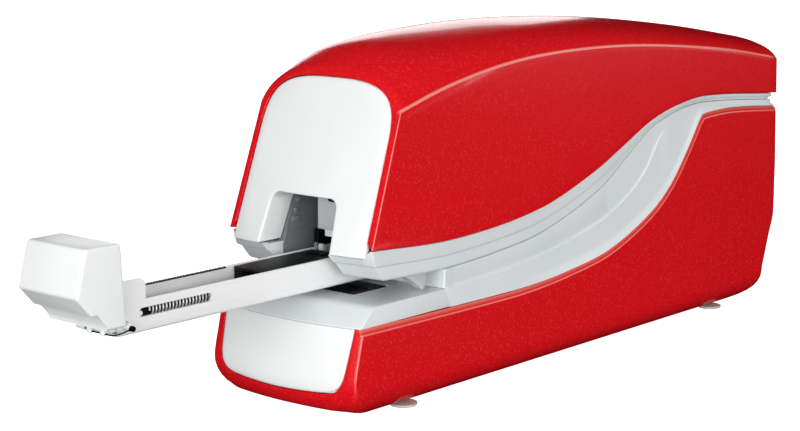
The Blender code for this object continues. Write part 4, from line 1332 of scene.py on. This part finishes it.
@dataclass
class MiddleBody:
    """Pale body between the shells, with a stepped line that sweeps up its side."""

    inset: float = 0.9
    throat_y: float = 31.6
    tip_y: float = 141.8
    sweep: Line = smooth_line((3.7, 31.6), (32, 32.1), (50.7, 32.6), (69, 33.9), (86.5, 36.3), (102.4, 39.5),
                              (116, 43.7), (131.4, 52.7), (141.8, 65.1))
    tip_share: float = 0.86                 # place of the sweep's tip between the lower and the upper edge
    step: float = 0.6                       # how far the body above the sweep stands back

    def top(self, x: float, y: float) -> float:
        """Return the height of the body's top edge."""
        return LINES.band_edge(y) - 0.15

    def foot(self, x: float, y: float) -> float:
        """Return the height of the body's lower edge, above the deck at the front."""
        return 32.15 + (LINES.lower_edge(y) + 0.2 - 32.15) * ease(y, 33.3, 34.0)

    def seam(self, x: float, y: float) -> float:
        """Return the height of the sweep, which goes on past its tip at a fixed share of the body."""
        low, high = self.foot(x, y), self.top(x, y)
        past = low + self.tip_share * (high - low)
        height = past if y > self.tip_y else self.sweep(y)
        return min(max(height, low + 0.9), high - 1.0)

    def above(self, y: float) -> float:
        """Return how far the body above the sweep stands back at Y."""
        return self.step * (1 - ease(y, self.tip_y - 2.5, self.tip_y + 0.5)) * ease(y, 32, 36)

    def flare(self, y: float) -> float:
        """Return how far the lower margin flares out to the red rim at Y."""
        return 0.75 * ease(y, 55, 95)

    def build(self) -> None:
        """Make the body and cut the drawer's gate into its front wall."""
        loops = RingLoops(lambda x, z: self.throat_y - self.inset, corner=0.5)
        back = self.inset + 1.9

        def row(height: Callable[[float, float], float], rise: float, depth: Line) -> list[Point]:
            """Return a loop at a rise over a height line."""
            return loops.loop(lambda x, y: height(x, y) + rise, depth)

        def near_foot(rise: float) -> Callable[[float, float], float]:
            """Return a height above the lower edge that stays under the sweep."""
            return lambda x, y: min(self.foot(x, y) + rise, self.seam(x, y) - 0.45 + 0.01 * rise)

        above = self.above
        rows = [row(self.top, 0.0, lambda y: self.inset + above(y)),
                row(self.seam, 0.5, lambda y: self.inset + above(y)),
                row(self.seam, 0.22, lambda y: self.inset + 1.25 * above(y)),
                row(self.seam, 0.08, lambda y: self.inset + 1.3 * above(y)),
                row(self.seam, -0.06, lambda y: self.inset + 0.3 * above(y)),
                row(self.seam, -0.25, lambda y: self.inset + 0.03 * above(y)),
                row(near_foot(3.1), 0.0, lambda y: self.inset),
                row(near_foot(2.5), 0.0, lambda y: self.inset - 0.06 * self.flare(y)),
                row(near_foot(1.7), 0.0, lambda y: self.inset - 0.3 * self.flare(y)),
                row(near_foot(0.8), 0.0, lambda y: self.inset - 0.68 * self.flare(y)),
                row(self.foot, 0.0, lambda y: self.inset - self.flare(y)),
                row(self.foot, 0.0, lambda y: back),
                row(self.top, 0.0, lambda y: back)]
        body = build_object("middle_body_skin", ring_solid(rows))
        carve(body, block((-9.9, 9.9), (28, 37), (33.0, 42)))
        fit(body, PALE_ABS, Body.HOUSING, "middle_body", angle=30)


@dataclass
class PaperDeck:
    """Pale deck that the paper lies on, and the black anvil in it."""

    level: float = 31.85
    foot_z: float = 26.9
    rear_y: float = 35.2                    # tucked in behind the middle body's front wall

    def build(self) -> None:
        """Make the deck and the anvil."""
        reach = LINES.half_width - 0.95
        columns = list(np.linspace(-reach, reach, 27))
        outlines = []
        for x in columns:
            front = LINES.low_front(x, 26.9) + 0.25
            rise = 2.6 - LINES.swell(x, 2.3)
            top_arms = [(rise - 1.2, self.level - 0.75), (rise, self.level), (rise + 1.6, self.level)]
            bend = [bezier(top_arms, t) for t in (0, 0.33, 0.67, 1)]
            low = self.foot_z - 0.4
            outlines.append([(front, low), (front + 0.1, self.foot_z)] + bend
                            + [(self.rear_y, self.level), (self.rear_y, low)])
        deck = build_object("deck_skin", loft(outlines, "X", columns))
        soften(deck, 0.5, SOFT_ANGLE)
        carve(deck, prism(rounded(rectangle(-11.4, 11.4, 9.9, 25.1), 0.8), "Z", 31.0, 34))
        fit(deck, PALE_ABS, Body.HOUSING, "deck", angle=30)
        face = rounded(rectangle(-11, 11, 10.3, 24.7), 1.2)
        plate = build_object("anvil_skin", prism(face, "Z", 31.25, self.level + 0.1))
        soften(plate, 0.2, SOFT_ANGLE)
        for side in (-1, 1):
            crimp, hole = side * 3.4, side * 8.6
            carve(plate, prism(slot_outline(crimp - 2.7, crimp + 2.7, 16.6, 18.9), "Z", 31.62, 33))
            carve(plate, prism(slot_outline(hole - 0.9, hole + 0.9, 16.9, 18.6), "Z", 31.45, 33))
        fit(plate, BLACK_OXIDE, Body.HOUSING, "anvil_plate")


# ---- drawer ----

CAP_PIVOT = (-69.3, 36.8)                   # Y and Z of the pin that the cap nods on
WIRE_EYE = (-69.3, 36.4)                    # Y and Z of the wire's end beside the pin


@dataclass
class StapleDrawer:
    """Steel channel with its spring, pin and the black parts seen through its window."""

    half: float = 7.3
    wall: float = 0.8
    low: float = 34.1
    high: float = 42.4
    span: Flat = (-71.6, 41.0)
    window: tuple[float, float, float, float] = (-64.9, -39.7, 38.0, 40.4)
    coil_pitch: float = 1.16
    coil_radius: float = 1.85
    coil_z: float = 37.6
    coil_span: Flat = (-56.5, -18.8)
    wire: float = 0.25
    rack_pitch: float = 1.05
    rack_span: Flat = (-61.4, -21.4)

    def build(self) -> None:
        """Make the channel and what rides in it."""
        self.channel()
        self.spring()
        self.black_parts()
        profile = ((0.55, -9.0), (0.9, -8.8), (0.95, -8.4), (0.95, 8.4), (0.9, 8.8), (0.55, 9.0))
        pin = turned(profile, CAP_PIVOT, "X", 24)
        make_piece("cap_pin_skin", pin, ZINC_STEEL, Body.DRAWER, "cap_pin")
        profile = ((0.3, 9.05), (0.6, 9.05), (0.72, 9.2), (0.72, 10.1), (0.6, 10.3), (0.35, 10.1))
        collar = turned(profile, WIRE_EYE, "X", 28)
        make_piece("cap_pin_collar", collar, BLACK_OXIDE, Body.DRAWER)

    def channel(self) -> None:
        """Make the folded channel with its front tabs, window and staple gate."""
        h, w, low, high = self.half, self.wall, self.low, self.high
        section = rounded([(-h, low), (h, low), (h, high), (h - w, high), (h - w, low + w), (w - h, low + w),
                           (w - h, high), (-h, high)], (1.1, 1.1, 0.12, 0.12, 0.35, 0.35, 0.12, 0.12), 4)
        channel = build_object("magazine_channel_skin", prism(section, "Y", *self.span))
        for side in (-1, 1):
            x0, x1 = sorted((side * h, side * (h - w)))
            tab = rounded(rectangle(self.span[0], -62.6, 41, 48), (0.1, 0.1, 2.0, 0.6), 6)
            carve(channel, prism(tab, "X", x0, x1), "UNION")
        carve(channel, prism(slot_outline(*self.window), "X", 0, 9))
        carve(channel, block((-6.4, 6.4), (-67.9, -65.9), (30, 36)))
        carve(channel, prism(circle(CAP_PIVOT, 1.2, 20), "X", -9, 9))
        fit(channel, ZINC_STEEL, Body.DRAWER, "magazine_channel", angle=28)

    def spring(self) -> None:
        """Make the close-wound spring that is seen in the window, and the bar that holds its end."""
        start, end = self.coil_span
        turns = (end - start) / self.coil_pitch
        steps = int(turns * 14)
        path = []
        for i in range(steps + 1):
            angle = 2 * math.pi * turns * i / steps
            path.append((self.coil_radius * math.cos(angle), start + (end - start) * i / steps,
                         self.coil_z + self.coil_radius * math.sin(angle)))
        coil = tube(path, self.wire, 7)
        make_piece("pusher_spring_skin", coil, SPRING_WIRE, Body.DRAWER, "pusher_spring", angle=80)
        anchor = turned(((0.4, -6.3), (0.7, -6.1), (0.7, 6.1), (0.4, 6.3)), (-63.4, 38.7), "X", 20)
        make_piece("spring_anchor_skin", anchor, ZINC_STEEL, Body.DRAWER, "spring_anchor")

    def black_parts(self) -> None:
        """Make the spring's rod, the liner behind the window and the toothed strip on the far wall."""
        y0, y1, z0, z1 = self.window
        profile = ((0.5, -62.6), (1.5, -62.0), (1.5, -19.4), (0.5, -19.0))
        rod = turned(profile, (0.0, self.coil_z), "Y", 20)
        make_piece("spring_rod", rod, BLACK_ACETAL, Body.DRAWER)
        inner = self.half - self.wall
        outline = rounded(rectangle(y0 + 3.0, y1 + 19.0, z0 - 2.9, z1 - 2.2), 0.6)
        liner = prism(outline, "X", 0.06 - inner, 0.36 - inner)
        make_piece("window_liner", liner, BLACK_ACETAL, Body.DRAWER, softness=0.1, segments=2)
        first, last = self.rack_span
        count = int((last - first) / self.rack_pitch)
        top, dip, foot = self.high + 0.12, self.high - 0.16, self.high - 0.4
        outline = [(first, foot)]
        for k in range(count):
            y = first + k * self.rack_pitch
            outline += [(y, top), (y + 0.5 * self.rack_pitch, top), (y + 0.55 * self.rack_pitch, dip),
                        (y + 0.95 * self.rack_pitch, dip)]
        outline.append((outline[-1][0], foot))
        rack = prism(outline, "X", 0.05 - inner, 0.3 - inner)
        make_piece("far_wall_rack", rack, BLACK_OXIDE, Body.DRAWER)


@dataclass
class StaplePusher:
    """Black pusher whose cover closes the rear of the channel."""

    half: float = 6.1
    span: Flat = (-18.8, 11.6)
    foot_z: float = 35.4
    top_z: float = 42.2
    slant: float = 1.9                      # how much further forward the cover's right corner is

    def build(self) -> None:
        """Make the pusher with its slanted cover and the ribs on top."""
        y0, y1 = self.span
        h, low, high = self.half, self.foot_z, self.top_z - 0.4
        legs = [(-h, low), (-2.9, low), (-2.9, 41.2), (2.9, 41.2), (2.9, low), (h, low), (h, high),
                (-h, high)]
        piece = build_object("staple_pusher_skin", prism(legs, "Y", y0, y1))
        cover = [(-h, y0), (h, y0 - self.slant), (h, y1), (-h, y1)]
        carve(piece, prism(cover, "Z", 41.5, self.top_z), "UNION")
        soften(piece, 0.18, SOFT_ANGLE, 2)
        fit(piece, BLACK_ACETAL, Body.PUSHER, "staple_pusher")
        for k in range(3):
            y = y1 - 5.0 + 1.6 * k
            rib = block((-3.6, 3.6), (y, y + 0.8), (self.top_z - 0.1, self.top_z + 0.4))
            make_piece(f"pusher_grip_{k + 1}", rib, BLACK_ACETAL, Body.PUSHER, softness=0.15, segments=2)


@dataclass
class DrawerCap:
    """White angular cap on the drawer's front, with its wire clip."""

    half: float = 11.1
    edge: float = 0.85                      # rounding between the cap's faces
    outline: tuple[Flat, ...] = ((-84.6, 58.6), (-87.8, 47.0), (-80.2, 38.8), (-79.3, 37.6), (-72.1, 37.6),
                                 (-73.3, 58.6))

    def build(self) -> None:
        """Make the cap, hollow at its rear, its tongue and the wire."""
        rings, places = [], []
        for k in range(7):
            angle = math.pi / 2 * k / 6
            shrink = self.edge * (1 - math.sin(angle))
            rings.append(self.ring(shrink))
            places.append(-self.half + self.edge * (1 - math.cos(angle)))
        rings += rings[::-1]
        places += [-p for p in places[::-1]]
        cap = build_object("magazine_cap_skin", loft(rings, "X", places))
        step = [(-95.0, 42.2), (-81.5, 42.2), (-78.6, 38.8), (-78.2, 36.0), (-95.0, 36.0)]
        carve(cap, prism(step, "X", -20, 20))
        carve(cap, block((-8.8, 8.8), (-81.5, -70.0), (43, 56)))
        fit(cap, WHITE_ABS, Body.CAP, "magazine_cap", angle=34)
        tongue = build_object("cap_tongue", block((-5.9, 5.9), (-74.4, -67.5), (35.3, 38.4)))
        soften(tongue, 0.3, SOFT_ANGLE)
        carve(tongue, prism(circle(CAP_PIVOT, 1.2, 20), "X", -7, 7))
        fit(tongue, WHITE_ABS, Body.CAP)
        self.clip()

    def ring(self, shrink: float) -> list[Flat]:
        """Return the cap's outline shrunk by a distance, with its corners rounded."""
        count = len(self.outline)
        moved = []
        for i in range(count):
            before, here, after = (Vector(self.outline[(i + k) % count]) for k in (-1, 0, 1))
            a, b = (here - before).normalized(), (after - here).normalized()
            left, right = Vector((-a.y, a.x)), Vector((-b.y, b.x))
            inward = (left + right) / (1 + left.dot(right))
            moved.append(tuple(here + inward * shrink))
        radii = [1.1, 1.1, 0.4, 0.4, 0.7, 1.0]
        return rounded(moved, [max(r - shrink * 0.8, 0.12) for r in radii], 5)

    def clip(self) -> None:
        """Make the black wire that runs from the pin under the cap and up into it, with its two loops."""
        side, front, low = 9.7, -75.4, 35.7
        corners = [(side, *WIRE_EYE), (side, -72.4, 35.9), (side, front, low), (6.0, front, low),
                   (0.4, front, low), (-0.9, front, 36.2), (-1.2, front, 38.4)]
        path = []
        for i, corner in enumerate(corners[1:-1], 1):
            start = blend_points(corners[i - 1], corner, 0.5)
            end = blend_points(corner, corners[i + 1], 0.5)
            path += [bezier([start, corner, end], t) for t in (0, 0.2, 0.4, 0.6, 0.8)]
        wire = tube([corners[0]] + path + [corners[-1]], 0.2)
        make_piece("cap_wire_skin", wire, BLACK_OXIDE, Body.CAP, "cap_wire", angle=80)
        for x, name in ((0.9, "left"), (5.8, "right")):
            loop = block((x - 0.8, x + 0.8), (-76.0, -74.6), (35.2, 38.0))
            make_piece("wire_loop_" + name, loop, WHITE_ABS, Body.CAP, softness=0.35)


# ---- head ----

@dataclass
class HeadInterior:
    """What shows inside the drawer's mouth: the dark frame with its ribs, the driver and the stops."""

    half: float = 12.3
    outer_half: float = 14.2

    def build(self) -> None:
        """Make the frame and the small pieces in front of and on the driver."""
        self.head_frame()
        self.driver_details()
        self.stops()

    def head_frame(self) -> None:
        """Make the dark frame, leaning like the front, with a step low on its walls and ribs above it."""
        h, wide, low, top = self.half, self.outer_half, 40.6, 62
        half_outline = [(wide, top), (wide, low), (h - 0.35, low), (h - 0.35, 47.2), (h, 47.5), (h, 60.2)]
        outline = half_outline + [(-x, z) for x, z in reversed(half_outline)]
        frame_piece = build_object("head_frame_skin", prism(outline, "Y", 6.6, 23.6))
        carve(frame_piece, block((-6.8, 6.8), (13.0, 30), (55, 70)))
        lean = [(0, 40), (5.4, 40), (13.2, 63), (0, 63)]
        carve(frame_piece, prism(lean, "X", -20, 20))
        fit(frame_piece, DARK_ABS, Body.HOUSING, "head_frame")
        for k, (z, length) in enumerate(((55.0, 2.0), (52.0, 1.6), (49.6, 3.2))):
            for side, name in ((-1, "left"), (1, "right")):
                x0, x1 = sorted((side * h, side * (h - 0.7)))
                y = 9.6 + 0.33 * (z - 48)
                rib = block((x0, x1), (y, y + length), (z, z + 1.5))
                make_piece(f"frame_rib_{name}_{k + 1}", rib, DARK_ABS, Body.HOUSING, softness=0.2,
                           segments=2)

    def driver_details(self) -> None:
        """Make the clip on the driver's front face, its seat and the rib below them."""
        seat = prism(rounded(rectangle(-2.2, 2.2, 55.9, 59.4), 0.8), "Y", 14.28, 14.52)
        make_piece("driver_clip_seat", seat, BLACK_ACETAL, Body.DRIVER)
        clip = block((-2.6, 0.6), (13.5, 14.4), (57.0, 57.9))
        make_piece("driver_clip", clip, ZINC_STEEL, Body.DRIVER, softness=0.25, segments=2)
        rib = block((-6.0, 6.0), (14.2, 14.55), (48.2, 49.0))
        make_piece("driver_front_rib", rib, GREY_ACETAL, Body.DRIVER, softness=0.15, segments=2)

    def stops(self) -> None:
        """Make the post and the curved lever that stand in the channel behind the pusher."""
        post = block((-6.1, -5.0), (12.7, 13.7), (35.2, 44.0))
        make_piece("feed_stop_post", post, DARK_ABS, Body.DRAWER, softness=0.25, segments=2)
        bow = [(12.6, 35.2), (13.9, 35.2), (14.1, 41.0), (13.9, 43.2), (13.2, 44.0), (12.6, 43.3),
               (12.9, 41.0)]
        make_piece("feed_lever", prism(rounded(bow, 0.25, 3), "X", -4.3, -2.7), GREY_ACETAL, Body.DRAWER)


@dataclass
class PaperTrigger:
    """Light grey fin that the paper pushes, with its concave front edge."""

    x: Flat = (20.3, 23.7)

    def build(self) -> None:
        """Make the fin with soft edges."""
        bow = [(13.5 + 11.5 * t, 38.4 - 5.9 * t ** 1.6) for t in np.linspace(0, 1, 14)]
        outline = bow + [(26.0, 33.4), (26.3, 38.5), (26.4, 44.6), (20.0, 46.2), (10.2, 45.8), (9.4, 43.0),
                         (10.6, 41.2)]
        fin = prism(outline, "X", *self.x)
        make_piece("paper_trigger_skin", fin, GREY_ACETAL, Body.TRIGGER, "paper_trigger", softness=0.35)


# ---- underside ----

@dataclass
class Underside:
    """Feet, screws, the battery door and the ribs that are seen from below."""

    foot_places: tuple[Flat, ...] = ((-20.8, 20.0), (20.8, 20.0), (-20.8, 181.0), (20.8, 181.0))
    screw_places: tuple[Flat, ...] = ((-11, 30), (11, 30), (-11, 108), (11, 108))

    def build(self) -> None:
        """Make every piece of the underside."""
        profile = ((2.2, 0.0), (3.3, 0.02), (3.75, 0.18), (3.95, 0.5), (3.95, 0.9))
        for number, place in enumerate(self.foot_places, 1):
            foot = turned(profile, place, "Z")
            make_piece(f"foot_pad_{number}", foot, MILKY_RUBBER, Body.HOUSING, f"foot_{number}", angle=50)
        head = ((2.3, 1.72), (2.8, 1.85), (3.0, 2.15), (3.0, 3.1), (1.5, 3.15), (1.5, 14.0))
        for number, (x, y) in enumerate(self.screw_places, 1):
            screw = build_object(f"case_screw_head_{number}", turned(head, (x, y), "Z"))
            for width, length in ((0.45, 1.6), (1.6, 0.45)):
                carve(screw, block((x - width, x + width), (y - length, y + length), (1.0, 2.6)))
            fit(screw, ZINC_STEEL, Body.HOUSING, f"case_screw_{number}", angle=40)
        self.door()
        for number in range(6):
            y = 48.0 + 9.0 * number
            rib = block((-14, 14), (y, y + 1.2), (2.9, 3.6))
            make_piece(f"base_rib_{number + 1}", rib, BASE_ABS, Body.HOUSING, softness=0.25, segments=2)

    def door(self) -> None:
        """Make the battery door with its thumb grip."""
        low, high = 3.5, 5.2
        outline = rounded(rectangle(-15.8, 15.8, 125.4, 181.6), 1.2)
        door = build_object("battery_door_skin", prism(outline, "Z", low, high))
        soften(door, 0.3, SOFT_ANGLE)
        carve(door, prism(slot_outline(-7.5, 7.5, 128.0, 132.5), "Z", 0, low + 1.0))
        fit(door, BASE_ABS, Body.HATCH, "battery_door")
        for number in range(3):
            y = 135.5 + 2.2 * number
            rib = prism(slot_outline(-7.5, 7.5, y, y + 0.9), "Z", 3.1, 3.7)
            make_piece(f"door_grip_{number + 1}", rib, BASE_ABS, Body.HATCH, softness=0.15, segments=2)


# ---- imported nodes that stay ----

@dataclass
class PackedParts:
    """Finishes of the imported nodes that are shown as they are."""

    finishes: dict[str, Finish] = field(default_factory=lambda: {
        "base_plate": BASE_ABS, "driver_block": GREY_ACETAL, "driver_blade": ZINC_STEEL,
        "driver_spring": SPRING_WIRE, "cam_gear": IVORY_ACETAL, "reduction_gear": IVORY_ACETAL,
        "motor_pinion": CUT_BRASS, "cam_shaft": ZINC_STEEL, "crank_disc": ZINC_STEEL,
        "reduction_shaft": ZINC_STEEL, "motor": ZINC_STEEL, "chassis_left": ZINC_STEEL,
        "chassis_right": ZINC_STEEL, "chassis_bridge": ZINC_STEEL, "magazine_guide": BLACK_ACETAL,
        "entry_guide_left": BLACK_ACETAL, "entry_guide_right": BLACK_ACETAL, "drawer_latch": GREY_ACETAL,
        "latch_pin": ZINC_STEEL, "trigger_pin": ZINC_STEEL, "trigger_switch": BLACK_ACETAL,
        "circuit_board": SOLDER_MASK, "capacitor": BLACK_ACETAL, "power_relay": BLACK_ACETAL,
        "battery_tray": BLACK_ACETAL, "contact_plate_front": ZINC_STEEL, "contact_plate_rear": ZINC_STEEL,
        "battery_cell_1": CELL_FOIL, "battery_cell_2": CELL_FOIL, "battery_cell_3": CELL_FOIL,
        "battery_cell_4": CELL_FOIL})

    def build(self) -> None:
        """Give every node that is still shown its finish."""
        for name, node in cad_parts.items():
            if node.hide_render:
                continue
            finish = self.finishes[name]
            node.data.materials.clear()
            node.data.materials.append(finish.material())
            log.info("%s keeps its packed shape, made of %s", name, finish.name)


# ---- stage ----

@dataclass(frozen=True)
class Softbox:
    """A rectangular studio light.

    Attributes:
        name: the light's name.
        place: its middle in the frame's metres.
        aim: the point that it faces.
        size: width and height in metres.
        power: watts.
        roll: turn about its own axis in degrees.
    """

    name: str
    place: Point
    aim: Point
    size: Flat
    power: float
    roll: float = 0.0

    def build(self) -> None:
        """Make the light."""
        data = bpy.data.lights.new(self.name, "AREA")
        data.shape = "RECTANGLE"
        data.size, data.size_y = self.size
        data.energy = self.power
        light = bpy.data.objects.new(self.name, data)
        light.visible_camera = False
        facing = Vector(self.aim) - Vector(self.place)
        turn = facing.to_track_quat("-Z", "Y").to_matrix().to_4x4()
        roll = Matrix.Rotation(math.radians(self.roll), 4, "Z")
        light.matrix_world = Matrix.Translation(self.place) @ turn @ roll
        bpy.context.scene.collection.objects.link(light)


@dataclass
class Studio:
    """Pale floor, soft light and the camera."""

    floor_half: float = 6.0
    camera_place: Point = (0.35878, -0.43912, 0.14714)
    camera_turn: Point = (79.84, 0.0, 40.56)
    lens: float = 86.76
    sensor: float = 36.0
    glow: Flat = (0.16, 0.46)               # strength of the surroundings below and above the horizon
    boxes: tuple[Softbox, ...] = (
        Softbox("key_front", (0.3, -1.15, 0.2), (0.0, -0.05, 0.05), (0.9, 0.5), 8.3),
        Softbox("fill_right", (1.1, -0.55, 0.2), (0.0, -0.02, 0.05), (0.7, 0.5), 7.9),
        Softbox("card_rear_right", (0.43, 0.62, 0.11), (0.026, 0.09, 0.09), (0.22, 0.05), 0.16, 9.0),
        Softbox("card_rear_left", (-0.75, 0.75, 0.3), (0.0, 0.0, 0.08), (0.5, 0.3), 1.0),
        Softbox("card_low_right", (0.128, 0.034, 0.008), (0.0, 0.034, 0.02), (0.06, 0.014), 0.004),
    )

    def build(self) -> None:
        """Make the floor, the world, the lights and the camera."""
        self.floor()
        self.world()
        for box in self.boxes:
            box.build()
        data = bpy.data.cameras.new("camera")
        data.lens = self.lens
        data.sensor_width = self.sensor
        data.clip_start, data.clip_end = 0.01, 50
        camera = bpy.data.objects.new("camera", data)
        camera.location = self.camera_place
        camera.rotation_euler = [math.radians(a) for a in self.camera_turn]
        bpy.context.scene.collection.objects.link(camera)
        bpy.context.scene.camera = camera
        bpy.context.scene.view_settings.view_transform = "Standard"

    def floor(self) -> None:
        """Make the plain pale floor."""
        mesh = bpy.data.meshes.new("floor")
        h = self.floor_half
        mesh.from_pydata([(-h, -h, 0), (h, -h, 0), (h, h, 0), (-h, h, 0)], [], [(0, 1, 2, 3)])
        floor = bpy.data.objects.new("floor", mesh)
        bpy.context.scene.collection.objects.link(floor)
        paper = bpy.data.materials.new("paper_white_matt")
        paper.use_nodes = True
        shader = paper.node_tree.nodes["Principled BSDF"]
        shader.inputs["Base Color"].default_value = linear("#FAFAFA")
        shader.inputs["Roughness"].default_value = 0.9
        shader.inputs["Emission Color"].default_value = linear("#FFFFFF")
        shader.inputs["Emission Strength"].default_value = 1.0
        mesh.materials.append(paper)
        floor.visible_diffuse = False
        floor.visible_glossy = False

    def world(self) -> None:
        """Make the white surroundings, dimmer below the horizon."""
        world = bpy.data.worlds.new("studio")
        bpy.context.scene.world = world
        world.use_nodes = True
        ground = world.node_tree.nodes.get("Background")
        if ground is None:
            ground = add_node(world.node_tree, "ShaderNodeBackground")
            out = add_node(world.node_tree, "ShaderNodeOutputWorld")
            world.node_tree.links.new(ground.outputs[0], out.inputs["Surface"])
        ground.inputs["Color"].default_value = linear("#FFFFFF")
        heading = add_node(world.node_tree, "ShaderNodeTexCoord").outputs["Generated"]
        height = add_node(world.node_tree, "ShaderNodeSeparateXYZ", {}, {"Vector": heading}).outputs["Z"]
        strength = add_node(world.node_tree, "ShaderNodeMapRange", {}, {
            "Value": height, "From Min": -0.3, "From Max": 0.3,
            "To Min": self.glow[0], "To Max": self.glow[1]})
        world.node_tree.links.new(strength.outputs["Result"], ground.inputs["Strength"])
        world.cycles_visibility.glossy = False


def main() -> None:
    """Build the sub-assemblies in order, then the stage."""
    logging.basicConfig(level=logging.INFO, format="%(name)s: %(message)s")
    assemblies = (UpperCase(), LowerCase(), HeadBand(), MiddleBody(), PaperDeck(), StapleDrawer(),
                  StaplePusher(), DrawerCap(), HeadInterior(), PaperTrigger(), Underside(), PackedParts(),
                  Studio())
    for assembly in assemblies:
        log.info("building %s", type(assembly).__name__)
        assembly.build()


if __name__ == "__main__":
    main()
